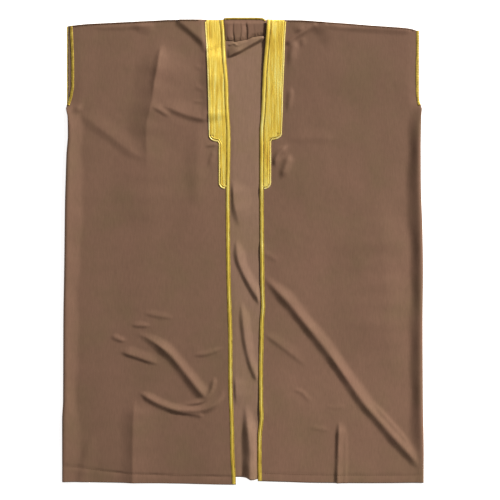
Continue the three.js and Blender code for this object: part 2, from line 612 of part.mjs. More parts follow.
// Braids at the armhole: on the front, and as a cord on the edge of the back.
function armholeBraid(name, wide) {
  const f = shapes[name];
  const path = (d) => [f.sign * (f.half(d) - f.turn(d) - wide / 2), d];
  return strip(`armhole_braid_${name}`, goldThread,
    along(path, shoulderAt(path(30)[0]) + 2, underarmDown - 10, 14), stripSection(wide, 1.6, gap, 1.2), f.height);
}
function armholeCord(name, reach) {
  const sign = sides[name].sign;
  const path = (d) => [sign * (backReach + gap + reach / 2), d];
  return strip(`armhole_cord_${name}`, goldBraid,
    along(path, shoulderAt(sign * backReach) + 2, underarmDown - 8, 4), stripSection(reach, cloth, 0, 0.5), () => 0);
}

// Braid over the top of the yoke.
function neckBraid() {
  const from = shapes.left.edge(4) + 3;
  const to = shapes.right.edge(4) - 3;
  const path = (x) => [x, shoulderAt(x) + 1.5 + neckBraidWide / 2];
  return strip('neck_braid', goldThread, along(path, from, to, 12), stripSection(neckBraidWide, 1.6, gap, 1), yokeHeight);
}

const part = new THREE.Group();
part.name = 'bisht';
part.add(backPanel(), neckYoke(), frontPanel('left'), frontPanel('right'));
for (const name of ['left', 'right']) part.add(band(name), bandCord(name), edgeBraid(name));
part.add(armholeBraid('left', 13), armholeBraid('right', 8));
part.add(armholeCord('left', backCordWide), armholeCord('right', backCordWide));
part.add(neckBraid());

export default part;
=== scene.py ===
import math

import bpy
import numpy as np
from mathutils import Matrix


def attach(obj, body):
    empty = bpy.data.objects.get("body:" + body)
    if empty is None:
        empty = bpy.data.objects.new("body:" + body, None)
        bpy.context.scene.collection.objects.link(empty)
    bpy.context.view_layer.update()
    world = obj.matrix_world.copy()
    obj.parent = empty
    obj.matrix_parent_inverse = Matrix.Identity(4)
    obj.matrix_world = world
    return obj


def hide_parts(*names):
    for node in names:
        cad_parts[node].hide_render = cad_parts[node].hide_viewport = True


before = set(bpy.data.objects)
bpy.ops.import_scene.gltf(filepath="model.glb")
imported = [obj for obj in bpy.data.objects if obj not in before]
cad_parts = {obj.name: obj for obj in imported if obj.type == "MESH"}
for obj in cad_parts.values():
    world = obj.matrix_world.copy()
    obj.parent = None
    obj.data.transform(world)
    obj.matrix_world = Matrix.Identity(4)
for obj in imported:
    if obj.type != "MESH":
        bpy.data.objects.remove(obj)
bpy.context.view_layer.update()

# A bisht laid out flat, fronts upward.  Every shape below is worked out in
# millimetres, across (x) and down from the back neck, and turned to metres last.
# long: back neck to hem.  cloth: its thickness.  gap: air between sewn layers.
# shell: drawn thickness of a front.  underarm: foot of the armholes.  foldStrip:
# cloth turned under at a side.  backReach: half width of the back at the armholes.
cloak = dict(long=1448, cloth=1.2, gap=0.3, shell=0.5, underarm=281, foldStrip=14, backReach=542)
fullTurn = 6.283  # radians


def ease(t):
    # smooth step from 0 to 1: 3t squared less 2t cubed
    t = np.clip(t, 0, 1)
    return t * t * (3 - 2 * t)


def mix(a, b, t):
    # from a to b by the share t
    return a + (b - a) * t


def curve(rows, at):
    # cubic through the rows whose slope at a row is the harmonic mean of its neighbours'
    k, y = np.array(rows, float).T
    d = np.diff(y) / np.diff(k)
    m = np.zeros_like(y)
    both = d[:-1] * d[1:] > 0
    m[1:-1][both] = 2 * d[:-1][both] * d[1:][both] / (d[:-1] + d[1:])[both]
    at = np.clip(np.asarray(at, float), k[0], k[-1])
    i = np.clip(np.searchsorted(k, at) - 1, 0, len(k) - 2)
    h = k[i + 1] - k[i]
    t = (at - k[i]) / h
    return (y[i] * (2 * t**3 - 3 * t**2 + 1) + m[i] * h * (t**3 - 2 * t**2 + t)
            + y[i + 1] * (3 * t**2 - 2 * t**3) + m[i + 1] * h * (t**3 - t**2))


def through(path, steps=6):
    # a path's points joined by Catmull-Rom arcs
    p = np.array(path, float)
    p = np.vstack([2 * p[0] - p[1], p, 2 * p[-1] - p[-2]])
    t = np.linspace(0, 1, steps, endpoint=False)[:, None]
    arcs = [0.5 * (2 * b + (c - a) * t + (2 * a - 5 * b + 4 * c - d) * t**2 + (3 * b - a - 3 * c + d) * t**3)
            for a, b, c, d in zip(p, p[1:], p[2:], p[3:])]
    return np.vstack(arcs + [p[-2:-1]])


def nearest(line, x, down):
    # distance to a line, side of it (above zero on its left), share of its length
    # at the nearest point, and its whole length
    best = np.full(x.shape, 1e9)
    side = np.zeros(x.shape)
    along = np.zeros(x.shape)
    seg = np.diff(line, axis=0)
    sizes = np.hypot(*seg.T)
    start = np.concatenate([[0], np.cumsum(sizes)])
    for (ax, ad), (dx, dd), size, before in zip(line, seg, sizes, start):
        t = np.clip(((x - ax) * dx + (down - ad) * dd) / size**2, 0, 1)
        off = np.hypot(x - ax - t * dx, down - ad - t * dd)
        closer = off < best
        best = np.where(closer, off, best)
        side = np.where(closer, -(down - ad) * dx + (x - ax) * dd, side)
        along = np.where(closer, (before + t * size) / start[-1], along)
    return best, side, along, start[-1]


def fold(row, x, down):
    # rise times a bell, (1 - q squared) squared, mixed by crispness with a creased
    # ridge, (1 - q) to the 1.8, where q is distance over width; the width differs on
    # the left and right of the path, and everything fades towards both ends
    left, right, rise, fadeIn, fadeOut, crisp, path = row
    out = np.zeros(np.shape(x))
    line = through(path)
    reach = 1.3 * max(left, right)
    low, high = line.min(0) - reach, line.max(0) + reach
    near = (x > low[0]) & (x < high[0]) & (down > low[1]) & (down < high[1])
    if not near.any():
        return out
    best, side, along, long = nearest(line, x[near], down[near])
    fade = ease(along / fadeIn) * ease((1 - along) / fadeOut)
    run = along * long
    wander = 1 + 0.05 * np.sin(run / 29 + left)
    width = np.where(side > 0, left, right) * (0.45 + 0.55 * fade) * wander * (1 + 0.2 * crisp)
    uneven = 1 + 0.08 * np.sin(run / 23 + rise * 5) + 0.05 * np.sin(run / 9.7 + right)
    q = np.clip(best / width, 0, 1)
    out[near] = rise * uneven * fade * mix((1 - q * q)**2, (1 - q)**1.8, crisp)
    return out


def folds(rows, x, down):
    return sum(fold(row, x, down) for row in rows)


def softWaves(x, down, high, seed):
    # slack in the cloth: products of two sines at several lengths and turns
    rng = np.random.default_rng(seed)
    total = 0
    for size in (420, 290, 200, 130, 80):
        a, b, c = rng.uniform(0, 2 * math.pi, 3)
        u = x * math.cos(a) + down * math.sin(a)
        w = -x * math.sin(a) + down * math.cos(a)
        wave = np.sin(u * fullTurn / size + b) * np.sin(w * fullTurn / (size * 1.7) + c)
        total = total + (size / 310)**1.2 * wave
    return high * total


def spread(a, b, step, zones):
    # lines from a to b at about step apart, or at a zone's own step inside it
    s = np.linspace(a, b, 4000)
    density = np.ones_like(s) / step
    for low, high, fine in zones:
        density = np.where((s > low) & (s < high), 1 / fine, density)
    total = np.concatenate([[0], np.cumsum((density[1:] + density[:-1]) / 2 * np.diff(s))])
    return np.interp(np.linspace(0, total[-1], int(total[-1]) + 1), total, s)


def makeMesh(name, points, quads, material):
    # points in millimetres as (x, down, up), of which those in some quad are kept;
    # quads as rows of four indices
    used, quads = np.unique(quads, return_inverse=True)
    p = np.asarray(points, float).reshape(-1, 3)[used]
    quads = quads.reshape(-1, 4)
    co = np.stack([p[:, 0], cloak["long"] / 2 - p[:, 1], p[:, 2]], 1) * 0.001
    mesh = bpy.data.meshes.new(name)
    mesh.vertices.add(len(co))
    mesh.vertices.foreach_set("co", co.ravel())
    mesh.loops.add(quads.size)
    mesh.loops.foreach_set("vertex_index", quads.ravel().astype(np.int32))
    mesh.polygons.add(len(quads))
    mesh.polygons.foreach_set("loop_start", np.arange(0, quads.size, 4, dtype=np.int32))
    mesh.update(calc_edges=True)
    mesh.validate()
    mesh.shade_smooth()
    piece = bpy.data.objects.new(name, mesh)
    bpy.context.collection.objects.link(piece)
    mesh.materials.append(material)
    return piece


def gridQuads(nu, nv, keep=None, turn=False):
    # quads of a grid, all or those that keep marks; turn faces them the other way
    i, j = np.meshgrid(np.arange(nu - 1), np.arange(nv - 1), indexing="ij")
    a = i * nv + j
    quads = np.stack([a, a + nv, a + nv + 1, a + 1], -1)
    if turn:
        quads = quads[..., ::-1]
    return (quads[keep] if keep is not None else quads).reshape(-1, 4)


def thicken(piece, thick):
    # the sheet grows into a wall below its upper face
    wall = piece.modifiers.new("wall", "SOLIDIFY")
    wall.thickness = thick * 0.001
    wall.offset = -1
    wall.use_even_offset = False


def settle(piece, node):
    # the cloak is one body; node is the solid that a piece stands for, if any
    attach(piece, "root")
    if node:
        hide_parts(node)


def toLinear(hexColour):
    # sRGB hex to linear: each channel plus 0.055, over 1.055, to the power 2.4
    c = np.array([int(hexColour[i:i + 2], 16) for i in (1, 3, 5)]) / 255
    c = np.where(c <= 0.04045, c / 12.92, ((c + 0.055) / 1.055) ** 2.4)
    return (*c.tolist(), 1.0)


def addNode(tree, kind, settings=None, links=None):
    # settings are socket values or node properties; links are sockets to join
    node = tree.nodes.new("ShaderNode" + kind)
    for key, value in (settings or {}).items():
        if key in node.inputs:
            node.inputs[key].default_value = value
        else:
            setattr(node, key, value)
    for key, socket in (links or {}).items():
        tree.links.new(socket, node.inputs[key])
    return node


def newMaterial(name):
    material = bpy.data.materials.new(name)
    material.use_nodes = True
    tree = material.node_tree
    tree.nodes.clear()
    return material, tree, {"Vector": addNode(tree, "TexCoord").outputs["Object"]}


def toned(tree, share, stops, tones):
    # colour ramp with a tone at each stop
    node = addNode(tree, "ValToRGB", links={"Fac": share})
    elements = node.color_ramp.elements
    while len(elements) < len(stops):
        elements.new(0.5)
    for element, at, tone in zip(elements, stops, tones):
        element.position = at
        element.color = toLinear(tone)
    return node.outputs["Color"]


def finishMaterial(tree, settings, links):
    shader = addNode(tree, "BsdfPrincipled", settings, links)
    addNode(tree, "OutputMaterial", links={"Surface": shader.outputs["BSDF"]})


# tones run from dark to light.  patch, twill, slub and crumple are in millimetres.
# The twill is drawn about eight times as coarse as the real 0.3 mm, so that it
# shows.  The last two: share of the tone near the hem and near the shoulder, which paints
# shade into the colour from hem to shoulder.
worsted = dict(tones=["#6f5845", "#735848", "#76594a"], patch=150, twill=2.566, slub=1000 / 260,
               crumple=26, roughness=0.68, paintedShadeLow=1.0, paintedShadeHigh=1.0)


def noise(tree, space, scale, detail, roughness=0.5):
    settings = {"Scale": scale, "Detail": detail, "Roughness": roughness}
    return addNode(tree, "TexNoise", settings, space).outputs["Fac"]


def rescale(tree, value, low, high, toLow, toHigh):
    settings = {"From Min": low, "From Max": high, "To Min": toLow, "To Max": toHigh}
    return addNode(tree, "MapRange", settings, {"Value": value}).outputs["Result"]


def mapped(tree, space, **change):
    # the space stretched by Scale or turned by Rotation
    return {"Vector": addNode(tree, "Mapping", change, space).outputs["Vector"]}


def scaled(tree, colour, share):
    node = addNode(tree, "VectorMath", {"operation": "SCALE"}, {0: colour, "Scale": share})
    return node.outputs["Vector"]


def bumped(tree, height, strength, distance, **below):
    # a bump, on top of the one below
    links = {"Height": height, **below}
    return addNode(tree, "Bump", {"Strength": strength, "Distance": distance}, links).outputs["Normal"]


def worstedCloth(name, look):
    # fine worsted crepe: a close twill, slightly slubbed, with a soft sheen
    material, tree, space = newMaterial(name)
    patch = noise(tree, space, 1000 / look["patch"], 3.0, 0.55)
    base = toned(tree, patch, (0.3, 0.5, 0.72), look["tones"])
    slub = noise(tree, mapped(tree, space, Scale=(1.0, 0.16, 1.0)), 1000 / look["slub"], 2.0)
    shade = scaled(tree, base, rescale(tree, slub, 0.3, 0.7, 0.94, 1.06))
    # painted shade: the tone is scaled from hem to shoulder, so one end looks shaded
    axes = addNode(tree, "SeparateXYZ", links=space).outputs
    paintedShadeTone = scaled(tree, shade, rescale(tree, axes["Y"], -0.5, 0.65, look["paintedShadeLow"], look["paintedShadeHigh"]))
    # the wave node turns 20 radians in each unit of its scale
    weave = {"Scale": 1000 * 2 * math.pi / 20 / look["twill"], "Distortion": 1.2, "Detail": 1.0}
    twill = addNode(tree, "TexWave", weave, mapped(tree, space, Rotation=(0, 0, math.radians(55))))
    ribs = bumped(tree, twill.outputs["Fac"], 0.25, 0.0002)
    crumple = noise(tree, space, 1000 / look["crumple"], 2.5)
    finish = {"Roughness": look["roughness"], "Sheen Weight": 0.06, "Sheen Roughness": 0.4,
              "Sheen Tint": toLinear("#c08a62"), "Specular Tint": toLinear("#d8b098"), "IOR": 1.5}
    finishMaterial(tree, finish, {
        "Base Color": paintedShadeTone, "Normal": bumped(tree, crumple, 0.35, 0.0012, Normal=ribs)})
    return material


def metalThread(name, look):
    # metal-wrapped thread: long streaks of painted sheen, darker and lighter tones of
    # the gold standing for light caught and lost along the thread, and small ridges
    # across from its winding, which is drawn coarser than real
    material, tree, space = newMaterial(name)
    stretch = (1000 / look["sheenStreakWide"], 1000 / look["sheenStreakLong"], 1.0)
    sheenStreak = noise(tree, mapped(tree, space, Scale=stretch), 1.0, 3.0, 0.6)
    # painted sheen: each streak takes a darker or lighter tone of the gold
    base = toned(tree, sheenStreak, (0.3, 0.5, 0.7), look["tones"])
    rough = rescale(tree, sheenStreak, 0.3, 0.7, look["roughness"] + 0.1, look["roughness"] - 0.06)
    wind = noise(tree, mapped(tree, space, Scale=(0.4, 1.0, 0.4)), 1000 / look["winding"], 1.0)
    finishMaterial(tree, {"Metallic": look["metallic"]}, {
        "Base Color": base, "Roughness": rough, "Normal": bumped(tree, wind, 0.45, 0.0004)})
    return material


# brown worsted, matt with a faint warm sheen; the right front's copy has painted
# shade that darkens it towards the shoulder and lightens it towards the hem
frontCloth = worstedCloth("worstedCrepeBrown", worsted)
rightCloth = worstedCloth("worstedCrepeBrownPaintedShade", {**worsted, "paintedShadeLow": 1.12, "paintedShadeHigh": 0.87})
# inner face of the same cloth, a little lighter and greyer
innerCloth = worstedCloth("worstedCrepeInner", {**worsted, "tones": ["#7e664f", "#826755", "#856858"]})
# bright yellow gold in long streaks of painted sheen: threads laid side by side, and
# the braid's rope
couchedGold = metalThread("couchedGoldThread", dict(
    tones=["#c49c32", "#ebce52", "#faee92"], sheenStreakWide=7, sheenStreakLong=120, winding=2.2,
    roughness=0.42, metallic=0.45))
# duller gold between the threads, broken up by short stitches
goldGround = metalThread("goldGroundStitch", dict(
    tones=["#a4822c", "#c2a03a", "#d8bc56"], sheenStreakWide=6, sheenStreakLong=30, winding=2.0,
    roughness=0.5, metallic=0.4))
# pale gold that catches the light as a bright outline
brightCord = metalThread("brightGoldCord", dict(
    tones=["#dcc05c", "#f2dc80", "#fff0ac"], sheenStreakWide=8, sheenStreakLong=60, winding=1.8,
    roughness=0.36, metallic=0.4))
# darker plaited gold that changes tone from strand to strand in painted sheen; on
# the edge braid its dark tone beside the bright rope is painted shade on the sides
plaitedGold = metalThread("plaitedGoldBraid", dict(
    tones=["#8a7028", "#b3963a", "#d8bd54"], sheenStreakWide=4, sheenStreakLong=22, winding=2.0,
    roughness=0.42, metallic=0.5))
# dark brown silk, seen as fine lines of stitches
sewingSilk = worstedCloth("sewingSilkBrown", {**worsted, "tones": ["#4c3729", "#57402f", "#614836"]})
print("materials made")


# Outlines seen from above, as (across, down) rows.  hemTurn: depth of the hem.
shoulder = [(-560, 28), (-536, 26), (-474, 20), (-412, 17), (-350, 14), (-288, 11), (-226, 8), (-130, 7),
            (-64, 8), (-54, 1), (-24, 0), (30, 0), (60, 1), (72, 8), (84, 8), (177, 9), (270, 16),
            (332, 20), (394, 25), (456, 29), (518, 35), (548, 43), (560, 44)]
hem = [(-560, 1439), (-474, 1440), (-350, 1442), (-226, 1444), (-130, 1446), (-20, 1448), (40, 1437),
       (84, 1438), (146, 1440), (208, 1442), (394, 1443), (560, 1442)]
hemTurn = [(-560, 52), (-508, 47), (-440, 38), (-341, 30), (-200, 27), (0, 26), (560, 26)]
backHem = [(-560, 1433), (-60, 1432), (-20, 1424), (8, 1425), (26, 1432), (60, 1430), (560, 1433)]

# Folds and swells of the cloth, a row each: width to the left of the path and to the
# right, rise, share of the path over which it fades in and out, crispness, path.
leftFolds = [
    (90, 17, 7.2, 0.08, 0.12, 0.6, [(-206, 6), (-178, 28), (-147, 55), (-122, 80), (-106, 112)]),
    (112, 60, 11, 0.24, 0.45, 0.9, [(-248, 62), (-257, 101), (-262, 132), (-266, 163), (-273, 194),
        (-277, 225), (-281, 256), (-288, 287), (-298, 330), (-299, 400), (-298, 490)]),
    (24, 24, 2.6, 0.4, 0.3, 0.3, [(-350, 24), (-310, 30), (-268, 42)]),
    (30, 16, 3.4, 0.3, 0.3, 1, [(-252, 76), (-259, 118), (-265, 163), (-274, 205), (-280, 250)]),
    (120, 120, 4.5, 0.3, 0.5, 0.3, [(-290, 360), (-292, 480), (-294, 700)]),
    (44, 24, 3.2, 0.2, 0.25, 0.5, [(-508, 296), (-431, 352), (-343, 418), (-295, 439)]),
    (15, 17, 4.2, 0.6, 0.5, 0.3, [(-534, 302), (-514, 286), (-497, 264)]),
    (22, 10, 3.4, 0.4, 0.4, 0.6, [(-286, 276), (-256, 290), (-222, 312)]),
    (42, 14, 5.4, 0.3, 0.15, 0.7, [(-254, 270), (-205, 292), (-154, 309), (-104, 319)]),
    (36, 40, 2.4, 0.3, 0.4, 0.3, [(-139, 312), (-141, 411), (-147, 603)]),
    (9, 8, 1.6, 0.4, 0.2, 0.6, [(-152, 148), (-138, 156), (-122, 160)]),
    (10, 8, 1.8, 0.4, 0.2, 0.6, [(-150, 208), (-136, 220), (-120, 226)]),
    (10, 8, 1.4, 0.4, 0.2, 0.6, [(-158, 258), (-140, 262), (-122, 262)]),
    (10, 8, 3, 0.3, 0.3, 0.3, [(-117, 401), (-96, 395), (-74, 394)]),
    (12, 9, 2.5, 0.3, 0.4, 0.3, [(-87, 408), (-98, 436), (-105, 467)]),
    (17, 10, 2, 0.3, 0.4, 0.3, [(-314, 915), (-265, 924), (-209, 933)]),
    (15, 9, 2.6, 0.3, 0.4, 0.3, [(-350, 953), (-316, 955), (-279, 956)]),
    (14, 9, 3.4, 0.3, 0.3, 0.3, [(-410, 984), (-385, 998), (-361, 1003)]),
    (27, 11, 5, 0.25, 0.3, 0.5, [(-385, 1034), (-339, 1048), (-295, 1063), (-255, 1076)]),
    (24, 22, 9.4, 0.35, 0.1, 0.75, [(-339, 977), (-302, 990), (-258, 1017), (-221, 1049), (-179, 1100),
        (-142, 1147), (-110, 1185)]),
    (18, 15, 6.8, 0.1, 0.24, 0.5, [(-322, 1161), (-269, 1192), (-221, 1211), (-170, 1217), (-129, 1216),
        (-94, 1203), (-69, 1178), (-60, 1141)]),
    (15, 8, 3.2, 0.35, 0.06, 0.8, [(-240, 1212), (-190, 1224), (-150, 1231), (-124, 1235)]),
    (13, 9, 5.4, 0.4, 0.15, 0.6, [(-196, 1200), (-150, 1196), (-120, 1187), (-101, 1164), (-91, 1136),
        (-88, 1110)]),
    (13, 9, 2.4, 0.3, 0.3, 0.3, [(-160, 1047), (-120, 1044), (-88, 1035), (-56, 1021)]),
    (75, 36, 7, 0.2, 0.05, 1, [(-337, 1180), (-341, 1310), (-342, 1459)]),
    (36, 20, 2.6, 0.4, 0.05, 0.3, [(-458, 1279), (-486, 1356), (-505, 1459)]),
    (10, 13, 1.8, 0.2, 0.3, 0.3, [(-480, 31), (-400, 30), (-319, 27), (-240, 24)]),
]
rightFolds = [
    (9, 13, 6.2, 0.15, 0.1, 0.8, [(128, 88), (152, 68), (173, 54), (201, 36), (231, 18)]),
    (8, 7, 3, 0.4, 0.3, 0.8, [(160, 48), (184, 36), (212, 22)]),
    (11, 34, 4, 0.65, 0.1, 0.6, [(204, 48), (232, 26), (250, 8)]),
    (95, 46, 3.8, 0.3, 0.75, 0.1, [(266, 2), (262, 34), (266, 70), (274, 112)]),
    (18, 28, 3.2, 0.5, 0.5, 0.3, [(184, 12), (177, 34), (166, 58)]),
    (22, 18, 4.8, 0.3, 0.5, 0.3, [(160, 64), (155, 90), (150, 114), (145, 160)]),
    (14, 8, 2, 0.3, 0.4, 0.5, [(180, 62), (184, 76), (184, 96)]),
    (14, 16, 2.8, 0.15, 0.1, 0.5, [(240, 20), (300, 27), (353, 32), (440, 36), (530, 44)]),
    (14, 12, 3.6, 0.3, 0.4, 0.3, [(147, 212), (145, 249), (138, 298)]),
    (12, 14, 7, 0.3, 0.3, 0.7, [(138, 392), (126, 408), (110, 424), (101, 442), (98, 466)]),
    (20, 15, 6, 0.3, 0.3, 0.6, [(146, 420), (137, 446), (128, 472), (117, 502)]),
    (29, 21, 9.6, 0.16, 0.05, 0.6, [(50, 788), (96, 837), (146, 890), (183, 937), (223, 986), (267, 1042),
        (306, 1098), (340, 1147), (378, 1200), (422, 1250), (462, 1296), (499, 1336), (532, 1372),
        (556, 1400)]),
    (24, 10, 2.6, 0.2, 0.4, 0.7, [(62, 977), (114, 1015), (160, 1051), (202, 1088)]),
    (11, 9, 1.6, 0.3, 0.3, 0.3, [(150, 1153), (179, 1160), (199, 1180), (210, 1199)]),
    (12, 9, 0.7, 0.3, 0.3, 0.3, [(253, 1203), (288, 1209), (323, 1203)]),
    (13, 10, 0.9, 0.3, 0.3, 0.3, [(198, 1266), (232, 1273), (273, 1282)]),
    (11, 8, 2.2, 0.3, 0.2, 0.8, [(392, 1180), (436, 1232), (478, 1278), (515, 1322)]),
    (28, 9.5, 7.4, 0.2, 0.03, 0.9, [(297, 1245), (294, 1341), (291, 1465)]),
    (9, 8, 1.3, 0.3, 0.05, 0.3, [(318, 1273), (318, 1356), (316, 1465)]),
    (13, 9, 1.5, 0.3, 0.3, 0.3, [(56, 727), (84, 741), (112, 758)]),
    (32, 20, 1.3, 0.3, 0.3, 0.3, [(127, 377), (208, 374), (307, 377)]),
]
backFolds = [
    (42, 9, 11.5, 0.36, 0.1, 0.2, [(-66, 129), (-46, 121), (-18, 108), (9, 93), (40, 76), (62, 64),
        (84, 52)]),
    (6, 6, 2.4, 0.15, 0.4, 0.5, [(-50, 80), (-40, 85), (-29, 81), (-18, 88), (-7, 84), (5, 79), (18, 71)]),
    (60, 17, 5.6, 0.3, 0.4, 0.6, [(-35, 500), (-31, 541), (-26, 581), (-17, 621), (-9, 660)]),
    (26, 13, 6.4, 0.25, 0.05, 0.4, [(-22, 684), (-16, 746), (-3, 783), (16, 820), (38, 857), (62, 888)]),
    (24, 13, 5.8, 0.2, 0.1, 0.4, [(-6, 880), (0, 938), (7, 1000), (17, 1050), (31, 1093), (50, 1130)]),
    (46, 10, 3.5, 0.3, 0.4, 0.6, [(-26, 1110), (-24, 1155), (-20, 1205)]),
    (22, 16, 1.6, 0.3, 0.01, 0.8, [(2, 1170), (8, 1217), (16, 1279), (24, 1341), (24, 1387), (23, 1480)]),
    (40, 25, 13.5, 0.4, 0.01, 0.2, [(9, 1196), (15, 1270), (21, 1341), (21, 1387), (20, 1500)]),
]

# One entry a side, as (down, value) rows.  edge: inner edge across.  half: half
# width.  rise, reach and turn: the puffed fold at the side, and drop and shoulder
# the shape of its slope.  up and wide: how far the inner edge stands off the back,
# and over what width it settles.  hemDeep: share of the hem line's depth.  rowZones
# and lineZones: where the mesh is closer, and its step there.  seed: of the slack.
leftFront = dict(
    sign=-1, drop=1.35, shoulder=0.0, hemDeep=1.0,
    edge=[(0, -61), (39, -57), (113, -53), (206, -45.5), (262, -44), (374, -38.5), (535, -40.5),
          (603, -40.5), (789, -38.5), (901, -35.5), (1012, -32.5), (1124, -32.5), (1273, -27.5),
          (1347, -26.5), (1448, -21.5)],
    half=[(20, 538), (60, 536), (150, 533), (206, 533), (240, 537), (262, 543), (281, 548), (310, 543),
          (364, 542), (426, 546.5), (488, 548.5), (581, 551), (752, 553), (938, 556), (1186, 557),
          (1248, 560), (1448, 560)],
    rise=[(255, 0), (290, 7.5), (345, 12), (600, 13), (740, 13), (876, 11.5), (1031, 12), (1186, 11),
          (1310, 9.5), (1448, 7)],
    reach=[(255, 26), (290, 36), (345, 40), (600, 42), (740, 44), (876, 33), (1031, 36), (1186, 33),
           (1310, 46), (1448, 44)],
    turn=[(281, 1.35), (345, 7), (600, 9), (900, 8.5), (1150, 9), (1330, 8), (1448, 6)],
    up=[(0, 0.6), (560, 0.6), (760, 1.2), (930, 0.6), (1180, 1.2), (1448, 0.8)],
    wide=[(0, 60), (560, 70), (1448, 70)],
    rowZones=[(0, 110, 4.2), (240, 470, 4.0), (890, 1240, 3.6), (1405, 1448, 3.0)],
    lineZones=[(0.42, 0.62, 3.4)], seed=11,
    swells=[(60, 32, 5.6, 0.25, 0.12, 0.3, [(-104, 60), (-101, 194), (-102, 330)])],
    folds=leftFolds,
)
rightFront = dict(
    sign=1, drop=2.0, shoulder=0.9, hemDeep=0.6,
    edge=[(0, 74), (76, 69.5), (150, 63), (225, 59), (299, 56), (355, 51.5), (535, 51.5), (845, 54),
          (901, 55.5), (938, 52.5), (1012, 51), (1093, 49), (1198, 49.5), (1235, 51), (1310, 45),
          (1384, 45), (1448, 46)],
    half=[(20, 547), (85, 547), (169, 545), (236, 546), (262, 549), (281, 554), (310, 552),
          (411, 550.3), (504, 550.6), (581, 552.6), (640, 555), (783, 557.2), (938, 556), (1186, 557),
          (1372, 560), (1448, 560)],
    rise=[(255, 0), (290, 8), (345, 13), (450, 15), (600, 15), (800, 15.5), (1000, 13.5), (1250, 15),
          (1350, 9), (1400, 5), (1448, 4)],
    reach=[(255, 20), (290, 32), (345, 35), (566, 37), (640, 33), (800, 35), (1000, 31), (1250, 35),
           (1448, 30)],
    turn=[(281, 1.35), (345, 8), (520, 9), (1250, 9), (1380, 8), (1448, 6)],
    up=[(0, 10.5), (30, 11), (60, 9.5), (90, 6), (125, 4), (250, 1.2), (330, -0.4), (510, -0.3),
        (536, 1.8), (570, -0.3), (690, -0.3), (720, 2.4), (765, 1.2), (812, 1.6), (850, -0.3),
        (930, -0.2), (1010, 0.8), (1060, -0.2), (1120, 0.4), (1180, 1.2), (1222, 3.2), (1262, 0.2),
        (1448, -0.2)],
    wide=[(0, 78), (120, 75), (300, 75), (460, 60), (860, 50), (960, 55), (1100, 60), (1448, 60)],
    rowZones=[(0, 110, 4.2), (370, 500, 4.2), (780, 1448, 4.0)],
    lineZones=[(0.44, 0.6, 3.6)], seed=23,
    swells=[(95, 190, 6.5, 0.3, 0.3, 0.3, [(430, 520), (440, 800), (455, 1150)])],
    folds=rightFolds,
)
fronts = dict(left=leftFront, right=rightFront)


def edgeAt(side, down):
    # inner edge of a front
    return curve(fronts[side]["edge"], down)


def downAt(x, v, low):
    # rows run level at the underarm, and follow the shoulder and the hem at the ends
    top, foot, mid = curve(shoulder, x), curve(low, x), cloak["underarm"]
    share = mid / cloak["long"]
    return np.where(v < share, mix(top, mid, v / share), mix(mid, foot, (v - share) / (1 - share)))


# long: a band's outer line down to the step.  stepDown, stepOut and stepDeep: where the
# step starts, and its depth.  lowOut: outer line below it.  foot: the rounded end.
bands = dict(
    left=dict(
        long=[(0, -119), (80, -115), (163, -111), (256, -108.5), (350, -107), (366, -106.5)],
        stepDown=366, stepOut=-106.5, stepDeep=20, lowOut=-76, footDown=513, footDeep=19, footIn=14),
    right=dict(
        long=[(0, 133.5), (76, 129.8), (132, 128.2), (194, 125.6), (256, 123.4), (300, 122.6), (360, 120.5)],
        stepDown=360, stepOut=120.5, stepDeep=20, lowOut=87, footDown=512, footDeep=21, footIn=16),
)


def bandOuter(side, down, inset=0.0):
    # outer line of a band: a long run, a step and a foot, turned by quarter ellipses
    b, s = bands[side], fronts[side]["sign"]
    x = curve(b["long"], down)
    q = np.clip((down - b["stepDown"]) / (b["stepDeep"] - inset), 0, 1)
    x = np.where(down > b["stepDown"], mix(b["lowOut"], b["stepOut"], np.sqrt(1 - q * q)), x)
    q = np.clip((down - b["footDown"]) / (b["footDeep"] - inset), 0, 1)
    foot = b["lowOut"] - s * b["footIn"] * (1 - np.sqrt(1 - q * q * 0.98))
    return np.where(down > b["footDown"], foot, x) - s * inset


# How a front lies.  quiet: run in from the side fold's crest over which creases die
# away.  slack and slackIn: height of the soft waves, and the run over which they
# start.  body and bodyIn: the same for the cloth's own loft.  bandHeld: share of a
# crease left under the stiff band, which ends at bandEnd.  bandRun: run beside it over
# which the rest comes back.  dip, dipOut and dipWide: the sewn line beside the band.
# hemDip: depth of the hem's stitched line, with its runs above, below and inward.
# least: the lowest that a front may lie.
lie = dict(quiet=36, slack=0.8, slackIn=90, body=1.3, bodyIn=70, bandHeld=0.15, bandRun=14,
           bandEnd=530, dip=0.6, dipOut=4, dipWide=8, hemDip=1.6, hemAbove=5, hemBelow=18,
           hemIn=20, least=2.1)


def sideRoll(side, x, down):
    # distance in from the side fold's crest, and the share of the fold's rise there:
    # (1 - q) to the power drop, times 1 plus half of drop times shoulder times q
    f = fronts[side]
    fromCrest = curve(f["half"], down) - curve(f["turn"], down) - f["sign"] * x
    rounded = np.sqrt(np.maximum(fromCrest, 0) ** 2 + 6) - 2.45
    uneven = 1 + 0.1 * np.sin(down / 61 + f["seed"]) + 0.07 * np.sin(down / 24)
    q = np.clip(rounded / (curve(f["reach"], down) * uneven), 0, 1)
    return fromCrest, (1 - q) ** f["drop"] * (1 + f["drop"] * 0.5 * f["shoulder"] * q)


def hemLine(side, x, down):
    # the hem's stitched line drawn in: a wavering depth times (1 - distance over run)
    # squared, with a shorter run above the line than below it
    above = curve(hem, x) - down - curve(hemTurn, x)
    drawn = lie["hemDip"] + 0.5 * np.sin(x / 23 + np.sin(x / 61)) + 0.3 * np.sin(x / 9.1)
    away = np.where(above > 0, above / lie["hemAbove"], -above / lie["hemBelow"])
    return drawn * fronts[side]["hemDeep"] * np.clip(1 - away, 0, 1) ** 2


